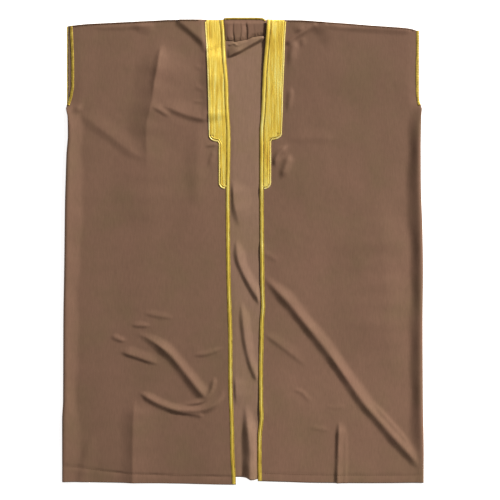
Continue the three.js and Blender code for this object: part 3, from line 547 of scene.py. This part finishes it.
def frontHeight(side, x, down):
    # two layers of cloth, plus rise times the side roll, plus the lifted inner edge,
    # up times (1 - q) squared, plus creases, swells and slack, less hem and band lines
    f = fronts[side]
    fromCrest, roll = sideRoll(side, x, down)
    fromEdge = np.maximum(0, f["sign"] * (x - edgeAt(side, down)))
    lift = curve(f["up"], down) * np.clip(1 - fromEdge / curve(f["wide"], down), 0, 1) ** 2
    quiet = ease(fromCrest / lie["quiet"])
    slack = softWaves(x, down, lie["slack"], f["seed"]) * quiet * ease(fromEdge / lie["slackIn"])
    high = 2 * cloak["cloth"] + cloak["gap"] + curve(f["rise"], down) * roll + lift
    # the stiff band holds creases off, while broad swells pass under it
    outside = f["sign"] * (x - bandOuter(side, down))
    loose = np.maximum(ease((outside + 4) / lie["bandRun"]), ease((down - lie["bandEnd"]) / 12))
    bent = folds(f["folds"], x, down) * mix(lie["bandHeld"], 1, loose) + folds(f["swells"], x, down)
    high = high + (bent + lie["body"] * ease(fromEdge / lie["bodyIn"])) * quiet + slack
    high = high - hemLine(side, x, down) * ease(fromEdge / lie["hemIn"])
    # the cloth dips where the band's outer edge is sewn down
    beside = np.abs(outside - lie["dipOut"]) / lie["dipWide"]
    sewn = ease((lie["bandEnd"] + 2 - down) / 12)
    high = high - lie["dip"] * np.clip(1 - beside**2, 0, 1) ** 2 * sewn
    return np.maximum(high, lie["least"])


# Yoke.  foot: its seam, as (across, down).  gathers: across, half width and depth.
# arch: its rise.  middle and half: its middle and the half width where the arch ends.
yoke = dict(
    foot=[(-62, 70), (-45, 71), (-25, 74), (-4, 71), (14, 68), (28, 61), (50, 57), (74, 54)],
    gathers=[(-50, 7, 0.6), (-30, 6, 1.9), (-8, 6, 0.8), (10, 8, 3.6), (34, 7, 0.5)],
    arch=3.6, middle=8, half=74, pucker=0.4, cloth=0.9, columns=92, rows=44,
)
# Cloth of the back between the fronts.  clear: run below the yoke over which folds
# start.  welt and weltRun: low ridge along the yoke's seam.  edge: run beside a front.
channel = dict(slack=0.35, seed=5, clear=9, welt=1.2, weltRun=16, edge=11)


def backHeight(x, down):
    # one layer of cloth, plus folds and slack, plus the welt, which is welt times
    # (1 - q) squared below the seam, all eased to nothing beside the fronts
    inside = np.minimum(x - edgeAt("left", down), edgeAt("right", down) - x)
    slack = softWaves(x, down, channel["slack"], channel["seed"]) + channel["slack"]
    past = down - curve(yoke["foot"], x)
    bent = (folds(backFolds, x, down) + np.maximum(slack, 0)) * ease(past / channel["clear"])
    welt = channel["welt"] * np.clip(1 - past / channel["weltRun"], 0, 1) ** 2 * (past > 0)
    return cloak["cloth"] + (bent + welt) * ease(inside / channel["edge"])


def upward(side, x, down):
    # unit normal of a front, by differences over e on each side
    e = 0.5
    gx = (frontHeight(side, x + e, down) - frontHeight(side, x - e, down)) / (2 * e)
    gd = (frontHeight(side, x, down + e) - frontHeight(side, x, down - e)) / (2 * e)
    n = np.sqrt(gx**2 + gd**2 + 1)
    return np.stack([-gx / n, -gd / n, 1 / n], -1)


# panel: flat width of a front's level part.  turnRound: cloth in the side's round.
# The steps are between mesh lines and rows.
frontCut = dict(panel=500, turnRound=30, rowStep=6.2, lineStep=5.4, arcSteps=13, stripSteps=5)


def makeFront(side):
    # one sheet: level panel, half-ellipse round the side, strip turned under
    f = fronts[side]
    s = f["sign"]
    share = cloak["underarm"] / cloak["long"]
    rows = spread(0, cloak["long"], frontCut["rowStep"], f["rowZones"]) / cloak["long"]
    rows = np.sort(np.append(rows, share))
    wide = frontCut["panel"]
    zones = [(a * wide, b * wide, step) for a, b, step in f["lineZones"]]
    panel = spread(0, wide, frontCut["lineStep"], zones) / wide
    arc = np.linspace(1, 2, frontCut["arcSteps"])[1:]
    strip = np.linspace(2, 3, frontCut["stripSteps"])[1:]
    u, v = np.meshgrid(np.concatenate([panel, arc, strip]), rows, indexing="ij")
    across = np.clip(u, 0, 1)

    def placeAt(down):
        crest = s * (curve(f["half"], down) - curve(f["turn"], down))
        return mix(edgeAt(side, down), crest, across)

    down = downAt(placeAt(v * cloak["long"]), v, hem)
    x = placeAt(down)
    up = frontHeight(side, x, down)
    radius = curve(f["turn"], down)
    angle = math.pi * (0.5 - np.clip(u - 1, 0, 1))
    turned = u > 1
    px = np.where(turned, x + s * radius * np.cos(angle), x)
    up = np.where(turned, up / 2 * (1 + np.sin(angle)), up)
    px = np.where(u > 2, x - s * cloak["foldStrip"] * (u - 2), px)
    keep = ~((u[:-1, :-1] >= 1 - 1e-9) & (v[:-1, :-1] < share - 1e-9))
    quads = gridQuads(*u.shape, keep=keep, turn=s > 0)
    points = np.stack([px, down, up], -1)
    piece = makeMesh("front_%s_cloth" % side, points, quads, rightCloth if s > 0 else frontCloth)
    thicken(piece, cloak["shell"])
    settle(piece, "front_" + side)
    wide = wide + cloak["foldStrip"] + frontCut["turnRound"]


# Mesh of the back: lineStep and channelLines are shares of half its width, and wing
# is the share taken by the cloth beyond the side seams, above the underarm.
backCut = dict(lineStep=0.022, channelLines=(-0.16, 0.19, 0.0052), wing=0.06, rowStep=6.4,
               rowZones=[(50, 140, 1.8), (460, 900, 5), (1180, 1448, 5)])


def makeBack():
    # one sheet under everything, out to the armholes above the underarm
    share = (cloak["underarm"] - cloak["gap"]) / cloak["long"]
    wing, reach = backCut["wing"], cloak["backReach"]
    lines = spread(-1, 1, backCut["lineStep"], [backCut["channelLines"]])
    lines = np.concatenate([[-1 - wing, -1 - wing / 2], lines, [1 + wing / 2, 1 + wing]])
    rows = spread(0, cloak["long"], backCut["rowStep"], backCut["rowZones"]) / cloak["long"]
    u, v = np.meshgrid(lines, np.sort(np.append(rows, share)), indexing="ij")

    def seam(side, down):
        f = fronts[side]
        d = np.maximum(down, cloak["underarm"])
        return f["sign"] * (curve(f["half"], d) - curve(f["turn"], d) - cloak["foldStrip"] - cloak["gap"])

    def placeAt(down):
        left, right = seam("left", down), seam("right", down)
        inner = mix(left, right, (np.clip(u, -1, 1) + 1) / 2)
        inner = np.where(u < -1, mix(left, -reach, (-1 - u) / wing), inner)
        return np.where(u > 1, mix(right, reach, (u - 1) / wing), inner)

    down = downAt(placeAt(v * cloak["long"]), v, backHem)
    x = placeAt(down)
    middle = (u[:-1, :-1] + u[1:, 1:]) / 2
    keep = (np.abs(middle) < 1) | (v[:-1, :-1] < share - 1e-9)
    points = np.stack([x, down, backHeight(x, down)], -1)
    piece = makeMesh("back_panel_cloth", points, gridQuads(*u.shape, keep=keep, turn=True), innerCloth)
    thicken(piece, cloak["cloth"] - 0.05)
    settle(piece, "back_panel")


def yokeHeight(x, down):
    # a low arch, less a narrow groove, (1 - q) to the 1.4, at each gather, plus small
    # sine puckers at the seam
    foot = curve(yoke["foot"], x)
    arch = yoke["arch"] * ease((down - 8) / 14) * (0.25 + 0.75 * ease((foot + 2 - down) / 14))
    arch = arch * ease((yoke["half"] - np.abs(x - yoke["middle"])) / 20)
    for centre, half, deep in yoke["gathers"]:
        wander = centre + 1.4 * np.sin(down / 11 + centre)
        q = np.clip(np.abs(x - wander) / (half * np.where(x < wander, 1.8, 0.75)), 0, 1)
        ends = ease((down - 10) / 20) * ease((foot + 6 - down) / 8) * (1 + 0.6 * ease((down - 44) / 16))
        arch = arch - deep * (1 - q) ** 1.4 * ends
    drawn = np.clip(1 - np.abs(down - foot + 6) / 7, 0, 1)
    pucker = yoke["pucker"] * np.sin(x * 0.42 + np.sin(x * 0.13) * 2) * drawn
    return 2 * cloak["cloth"] + cloak["gap"] + np.maximum(arch + pucker, 0)


def makeYoke():
    # one strip from the neck to its seam, as wide as the channel
    columns, rows = np.linspace(0, 1, yoke["columns"]), np.linspace(0, 1, yoke["rows"])
    u, v = np.meshgrid(columns, rows, indexing="ij")

    def placeAt(down):
        return mix(edgeAt("left", down) + 1, edgeAt("right", down) - 1, u)

    x = placeAt(np.full(u.shape, 35.0))
    down = mix(curve(shoulder, x) + 1, curve(yoke["foot"], x), v)
    x = placeAt(down)
    points = np.stack([x, down, yokeHeight(x, down)], -1)
    piece = makeMesh("neck_yoke_cloth", points, gridQuads(*u.shape, turn=True), frontCloth)
    thicken(piece, yoke["cloth"])
    settle(piece, "neck_yoke")


makeBack()
print("back made")
makeYoke()
for side in fronts:
    makeFront(side)
print("fronts made")


def onFront(side, x, down, lift):
    # points lifted off a front along its normal
    n = upward(side, x, down)
    return np.stack([x, down, frontHeight(side, x, down)], -1) + n * np.asarray(lift)[..., None]


def tubeQuads(runs, stations, ring, turn):
    # side quads of closed tubes, and two end caps each made of a strip of quads
    r, i, k = np.meshgrid(np.arange(runs), np.arange(stations - 1), np.arange(ring), indexing="ij")
    a = (r * stations + i) * ring
    sides = np.stack([a + k, a + (k + 1) % ring, a + ring + (k + 1) % ring, a + ring + k], -1).reshape(-1, 4)
    c = np.arange(ring // 2 - 1)
    cap = np.stack([c, ring - 1 - c, ring - 2 - c, c + 1], -1)
    first = (np.arange(runs) * stations * ring)[:, None, None] + cap
    last = first[..., ::-1] + (stations - 1) * ring
    quads = np.vstack([sides, first.reshape(-1, 4), last.reshape(-1, 4)])
    return quads[:, ::-1] if turn else quads


def evenPath(points, step):
    # a path resampled at even steps
    p = np.asarray(points, float)
    s = np.concatenate([[0], np.cumsum(np.hypot(*np.diff(p, axis=0).T))])
    t = np.linspace(0, s[-1], max(2, int(s[-1] / step)))
    return np.stack([np.interp(t, s, p[:, 0]), np.interp(t, s, p[:, 1])], -1), t


def ropeProfile(along, rope):
    # half-round of eight points whose radius swells where a strand passes over: 1 plus
    # bite times the cosine of the strand's angle
    angle = np.linspace(math.pi, 0, 8)
    strand = rope["strands"] * angle[None, :] + along[:, None] * fullTurn / rope["pitch"]
    swell = 1 + rope["bite"] * np.cos(strand)
    across = np.cos(angle)[None, :] * rope["wide"] / 2 * (1 + 0.3 * (swell - 1))
    lift = rope["base"] + np.sin(angle)[None, :] * rope["high"] * swell
    return across, lift, 0.5


def plaitProfile(along, plait):
    # flat braid: two sets of strands crossing in a herringbone, the greater of two
    # cosines, over a low crown, 1 less three quarters of a to the fourth
    a = np.linspace(-1, 1, 12)[None, :]
    s = along[:, None] / plait["pitch"]
    one = np.cos(fullTurn * (s + 0.5 * np.abs(a)))
    over = np.maximum(one, np.cos(fullTurn * (s + 0.5 - 0.5 * np.abs(a))))
    lift = plait["base"] + plait["high"] * (1 - 0.75 * a**4) * (1 - plait["bite"] * (1 - over) / 2)
    return a * plait["wide"] / 2 * np.ones_like(s), lift, 0.96


def layTrim(side, line, trim, name, material, node, floor=None):
    # a rope or plait carried along a line of (across, down) points, on the front
    # unless floor gives another height, and closed below by two narrower points
    path, along = evenPath(line, trim["step"])
    across, lift, narrow = (ropeProfile if "strands" in trim else plaitProfile)(along, trim)
    foot = np.full((len(along), 1), trim["base"])
    across = np.hstack([across, across[:, -1:] * narrow, across[:, :1] * narrow])
    lift = np.hstack([lift, foot, foot])
    step = np.gradient(path, axis=0)
    size = np.hypot(*step.T)
    x = path[:, :1] + (step[:, 1] / size)[:, None] * across
    down = path[:, 1:] - (step[:, 0] / size)[:, None] * across
    points = np.stack([x, down, floor(x, down) + lift], -1) if floor else onFront(side, x, down, lift)
    piece = makeMesh(name, points, tubeQuads(1, len(path), across.shape[1], True), material)
    settle(piece, node)


# Every rope and plait below has these.  step: from one ring of the mesh to the next.
# base: height off the cloth.  pitch: from one strand's top to the next.  bite: how
# deep the strands cut in.
edgePlait = dict(step=1.9, wide=13, high=0.9, base=cloak["gap"], pitch=7.5, bite=0.4)
# bright rope down the middle of the plait, thinner from thinAt down; its brighter gold
# beside the darker plait is a painted highlight along the braid's crown
edgeRope = dict(step=1.9, wide=7.4, high=0.8, base=cloak["gap"] + 0.5, pitch=6.5, strands=2,
                bite=0.2, thin=dict(left=6.0, right=4.7), thinAt=500, thinRun=60)


def makeEdgeBraid(side):
    s = fronts[side]["sign"]
    d = np.linspace(curve(shoulder, edgeAt(side, 8)) + 1.5, curve(hem, edgeAt(side, 1440)) - 1.5, 900)
    line = np.stack([edgeAt(side, d) + s * edgePlait["wide"] / 2, d], -1)
    layTrim(side, line, edgePlait, "edge_braid_%s_plait" % side, plaitedGold, "edge_braid_" + side)
    path, _ = evenPath(line, edgeRope["step"])
    thinner = ease((path[:, 1:] - edgeRope["thinAt"]) / edgeRope["thinRun"])
    rope = {**edgeRope, "wide": mix(edgeRope["wide"], edgeRope["thin"][side], thinner)}
    layTrim(side, line, rope, "edge_braid_%s_rope" % side, couchedGold, None)


# Outline of a band.  cords: how far in each cord runs, how thick it is and how high
# it is raised.
bandCord = dict(step=1.5, wide=4.6, high=1.7, base=cloak["gap"], pitch=5.2, strands=2, bite=0.13,
                cords=[(0.0, 1.0, 0.0), (6.6, 0.55, 0.9)])
# Band inside its outline: a stitched ground, and threads held down by stitches.
bandFill = dict(braidGap=0.6, inset=bandCord["wide"] + cloak["gap"], ground=0.7, threadPitch=2.6,
                threadHigh=1.0, threadSteps=132, stitchPitch=8.5, seeds=dict(left=3, right=7))


def bandInner(side, down):
    # inner line of a band, just clear of the edge braid
    return edgeAt(side, down) + fronts[side]["sign"] * (edgePlait["wide"] + bandFill["braidGap"])


def makeBandGround(side):
    # plain sheet of gold stitching inside the outline, its rows closer at the turns
    b, s, inset = bands[side], fronts[side]["sign"], bandFill["inset"]
    foot = b["footDown"] + b["footDeep"] - inset
    rows = np.concatenate([
        np.linspace(0, b["stepDown"], 70),
        b["stepDown"] + (b["stepDeep"] - inset) * np.sin(np.linspace(0.1, 1.57, 12)),
        np.linspace(b["stepDown"] + b["stepDeep"] - inset + 1, b["footDown"], 26),
        b["footDown"] + (b["footDeep"] - inset) * np.sin(np.linspace(0.1, 1.57, 10)),
    ]) / foot
    u, v = np.meshgrid(np.linspace(0, 1, 15), rows, indexing="ij")
    x = mix(edgeAt(side, v * foot), bandOuter(side, v * foot), u)
    down = mix(curve(shoulder, x) + 1, foot, v)
    x = mix(bandInner(side, down), bandOuter(side, down, inset), u)
    points = onFront(side, x, down, np.full(x.shape, cloak["gap"] + bandFill["ground"]))
    ground = makeMesh("band_%s_ground" % side, points, gridQuads(*u.shape, turn=s > 0), goldGround)
    thicken(ground, bandFill["ground"])
    settle(ground, "band_" + side)


def makeBandThreads(side):
    # parallel half-round strands, each ending on the outline and pinched where a
    # stitch holds it down
    b, s, inset = bands[side], fronts[side]["sign"], bandFill["inset"]
    foot = b["footDown"] + b["footDeep"] - inset
    wide = abs(b["stepOut"] - bandInner(side, b["stepDown"])) - inset
    count = int(wide / bandFill["threadPitch"])
    offset = (np.arange(count) + 0.5) * wide / count
    probe = np.linspace(0, foot, 1500)
    room = np.abs(bandOuter(side, probe, inset) - bandInner(side, probe))
    short = room[None, :] < offset[:, None] + 0.8
    ends = np.where(short.any(1), probe[short.argmax(1)], foot)
    ends = np.where(ends < 60, b["stepDown"], ends)
    rng = np.random.default_rng(bandFill["seeds"][side])
    k = np.linspace(0, 1, bandFill["threadSteps"])[None, :]
    starts = curve(shoulder, bandInner(side, 0) + s * offset) + 1.5
    down = mix(starts[:, None], ends[:, None] - 1.0, k)
    widen = np.abs(bandOuter(side, down, inset) - bandInner(side, down)) / wide
    widen = np.where(down < b["stepDown"], widen, 1.0)
    centre = bandInner(side, down) + s * offset[:, None] * widen
    beat = fullTurn * down / bandFill["stitchPitch"] + rng.uniform(0, fullTurn, count)[:, None]
    stout = rng.uniform(0.8, 1.15, count)[:, None]
    stout = stout * (1 + 0.1 * np.sin(down / 37 + rng.uniform(0, 6, count)[:, None]))
    stout = stout * (1 - 0.22 * np.clip(np.cos(beat), 0, 1) ** 6)
    ringAcross = np.array([-0.5, -0.42, -0.16, 0.16, 0.42, 0.5]) * 1.02 * wide / count
    ringHigh = np.array([0.0, 0.55, 0.95, 0.95, 0.55, 0.0]) * bandFill["threadHigh"]
    x = centre[..., None] + ringAcross * widen[..., None]
    lift = cloak["gap"] + bandFill["ground"] * 0.8 + ringHigh * stout[..., None]
    points = onFront(side, x, np.broadcast_to(down[..., None], x.shape), lift)
    quads = tubeQuads(count, bandFill["threadSteps"], len(ringHigh), False)
    settle(makeMesh("band_%s_threads" % side, points, quads, couchedGold), None)


def bandLine(side, inward):
    # line at a distance inside a band's outline: the long run, the step's quarter
    # ellipse, the low run, and the foot's quarter ellipse
    b, s = bands[side], fronts[side]["sign"]
    t = np.linspace(0, 1.5, 14)
    out = abs(b["stepOut"] - b["lowOut"])
    upper = np.linspace(14, b["stepDown"], 60)
    lower = np.linspace(b["stepDown"] + b["stepDeep"] + 5, b["footDown"], 24)
    stepX = b["lowOut"] + s * (out - inward * np.cos(t)) * np.cos(t) - s * inward * np.sin(t) * 0.25
    footX = b["lowOut"] - s * inward - s * (b["footIn"] + 6 - inward * 0.4) * (1 - np.cos(t))
    return np.vstack([
        np.stack([bandOuter(side, upper) - s * inward, upper], -1),
        np.stack([stepX, b["stepDown"] + (b["stepDeep"] - inward) * np.sin(t)], -1),
        np.stack([np.full(lower.shape, b["lowOut"] - s * inward), lower], -1),
        np.stack([footX, b["footDown"] + (b["footDeep"] - inward) * np.sin(t)], -1),
    ])


def makeBandCords(side):
    for number, (inward, thick, raised) in enumerate(bandCord["cords"]):
        cord = {**bandCord, "wide": bandCord["wide"] * thick, "high": bandCord["high"] * thick,
                "base": bandCord["base"] + raised}
        layTrim(side, bandLine(side, bandCord["wide"] / 2 + inward), cord, "band_%s_cord%d" % (side, number),
                couchedGold if number else brightCord, None if number else "band_cord_" + side)


# Armhole: a plait on the front's edge, and a cord on the back's edge beside it.
armholePlait = dict(step=1.8, wide=dict(left=8.6, right=9), high=1.5, base=cloak["gap"], pitch=8.0,
                    bite=0.4, shoulderAt=534)
armholeCord = dict(step=1.6, wide=3.6, high=1.6, base=0.0, pitch=4.8, strands=2, bite=0.15)


def makeArmhole(side):
    f, s = fronts[side], fronts[side]["sign"]
    plait = {**armholePlait, "wide": armholePlait["wide"][side]}
    d = np.linspace(curve(shoulder, s * plait["shoulderAt"]) + 2, cloak["underarm"] - 8, 200)
    line = np.stack([s * (curve(f["half"], d) - curve(f["turn"], d) - plait["wide"] / 2), d], -1)
    layTrim(side, line, plait, "armhole_braid_%s_plait" % side, plaitedGold, "armhole_braid_" + side)
    beside = s * (cloak["backReach"] + cloak["gap"] + armholeCord["wide"] / 2)
    line = np.stack([np.full(d.shape, beside), d], -1)
    layTrim(side, line, armholeCord, "armhole_cord_%s_rope" % side, plaitedGold, "armhole_cord_" + side,
            floor=lambda a, b: 0 * a)


neckBraid = dict(step=1.6, wide=5.2, high=1.7, base=cloak["gap"], pitch=6.0, strands=3, bite=0.14,
                 below=4.2)


def makeNeckBraid():
    x = np.linspace(edgeAt("left", 8) + 3, edgeAt("right", 8) - 5, 120)
    line = np.stack([x, curve(shoulder, x) + neckBraid["below"]], -1)
    layTrim("left", line, neckBraid, "neck_braid_rope", plaitedGold, "neck_braid",
            floor=yokeHeight)


for side in fronts:
    makeBandGround(side)
    makeBandThreads(side)
    makeBandCords(side)
    makeEdgeBraid(side)
    makeArmhole(side)
makeNeckBraid()
print("trims made")


# long and wide: size of one stitch.  every: from one stitch to the next.
stitch = dict(
    hem=dict(long=4.2, wide=0.8, high=0.5, every=7.0),
    shoulder=dict(long=3.4, wide=0.7, high=0.4),
    yoke=dict(long=2.0, wide=0.5, high=0.3, every=4.0),
)
# dark cord along each shoulder fold: painted shade standing for the dark line there
shoulderShadeCord = dict(step=2.2, wide=3.6, high=1.1, base=0.1, pitch=5.0, strands=2, bite=0.15, below=2.4)


def makeStitches(name, x, down, up, kind):
    # one low six-sided bar for each stitch, placed as whole arrays
    end = np.array([[-0.5, -0.5, 0], [-0.35, -0.3, 1], [0.35, -0.3, 1], [0.5, -0.5, 0]])
    bar = np.vstack([end, end * [1, -1, 1]])
    local = bar * [stitch[kind]["long"], stitch[kind]["wide"], stitch[kind]["high"]]
    points = np.stack([x, down, up], -1)[:, None, :] + local
    faces = np.array([[0, 1, 2, 3], [7, 6, 5, 4], [1, 5, 6, 2], [0, 4, 5, 1], [3, 2, 6, 7], [0, 3, 7, 4]])
    quads = (np.arange(len(x)) * len(bar))[:, None, None] + faces
    settle(makeMesh(name, points, quads.reshape(-1, 4)[:, ::-1], sewingSilk), None)


def makeShoulderShadeCord(side):
    # dark silk cord along the shoulder fold, put there as painted shade for the dark
    # line at the fold's edge; run so that its faces look outward
    s = fronts[side]["sign"]
    x = s * np.linspace(138, 530, 260)
    line = np.stack([x, curve(shoulder, x) + shoulderShadeCord["below"]], -1)[::s]
    layTrim(side, line, shoulderShadeCord, "shoulder_shade_cord_" + side, sewingSilk, None)


for side in fronts:
    x = fronts[side]["sign"] * np.arange(70, 535, stitch["hem"]["every"])
    down = curve(hem, x) - curve(hemTurn, x) + 1
    makeStitches("hem_stitches_" + side, x, down, frontHeight(side, x, down), "hem")
    x = x[np.abs(x) > 140]
    down = curve(shoulder, x) + 7
    makeStitches("shoulder_stitches_" + side, x, down, frontHeight(side, x, down), "shoulder")
    makeShoulderShadeCord(side)
x = np.arange(-48, 66, stitch["yoke"]["every"])
down = curve(yoke["foot"], x) - 4
makeStitches("yoke_stitches", x, down, yokeHeight(x, down), "yoke")
print("stitches made")


# white acrylic panel, faintly lit from below so that shadows on it stay pale
floorMaterial, tree, _ = newMaterial("whiteAcrylicFloor")
glow = {"Emission Color": (1, 1, 1, 1), "Emission Strength": 0.75}
finishMaterial(tree, {"Base Color": toLinear("#fbfbfb"), "Roughness": 0.95, **glow}, {})
half, low = 6000, -0.3
corners = [[-half, half, low], [half, half, low], [half, -half, low], [-half, -half, low]]
floor = makeMesh("floor", corners, np.array([[0, 1, 2, 3]]), floorMaterial)


def addLight(name, azimuth, elevation, distance, size, power, colour):
    # area light aimed at the middle of the cloak
    data = bpy.data.lights.new(name, "AREA")
    data.shape = "RECTANGLE"
    data.size, data.size_y = size
    data.energy = power
    data.color = toLinear(colour)[:3]
    light = bpy.data.objects.new(name, data)
    a, e = math.radians(azimuth), math.radians(elevation)
    place = np.array([math.cos(e) * math.cos(a), math.cos(e) * math.sin(a), math.sin(e)]) * distance
    light.location = place.tolist()
    light.rotation_euler = (math.pi / 2 - e, 0, a + math.pi / 2)
    bpy.context.collection.objects.link(light)


addLight("windowLight", 46, 27, 13.0, (2.1, 2.1), 2950, "#fffdf8")
addLight("bounceCard", -50, 30, 3.0, (1.5, 1.5), 7, "#fff6ea")
world = bpy.data.worlds.new("studio")
world.use_nodes = True
background = world.node_tree.nodes["Background"].inputs
background["Color"].default_value = (1, 1, 1, 1)
background["Strength"].default_value = 0.25
bpy.context.scene.world = world
bpy.context.scene.view_settings.view_transform = "Standard"

# across: metres that fill the frame.  x and y: what the frame is centred on.
view = dict(lens=85, sensor=36, across=1.55, x=0.0217, y=0.0033)
cameraData = bpy.data.cameras.new("camera")
cameraData.lens = view["lens"]
cameraData.sensor_width = view["sensor"]
camera = bpy.data.objects.new("camera", cameraData)
camera.location = (view["x"], view["y"], view["across"] * view["lens"] / view["sensor"])
bpy.context.collection.objects.link(camera)
bpy.context.scene.camera = camera
print("stage made")
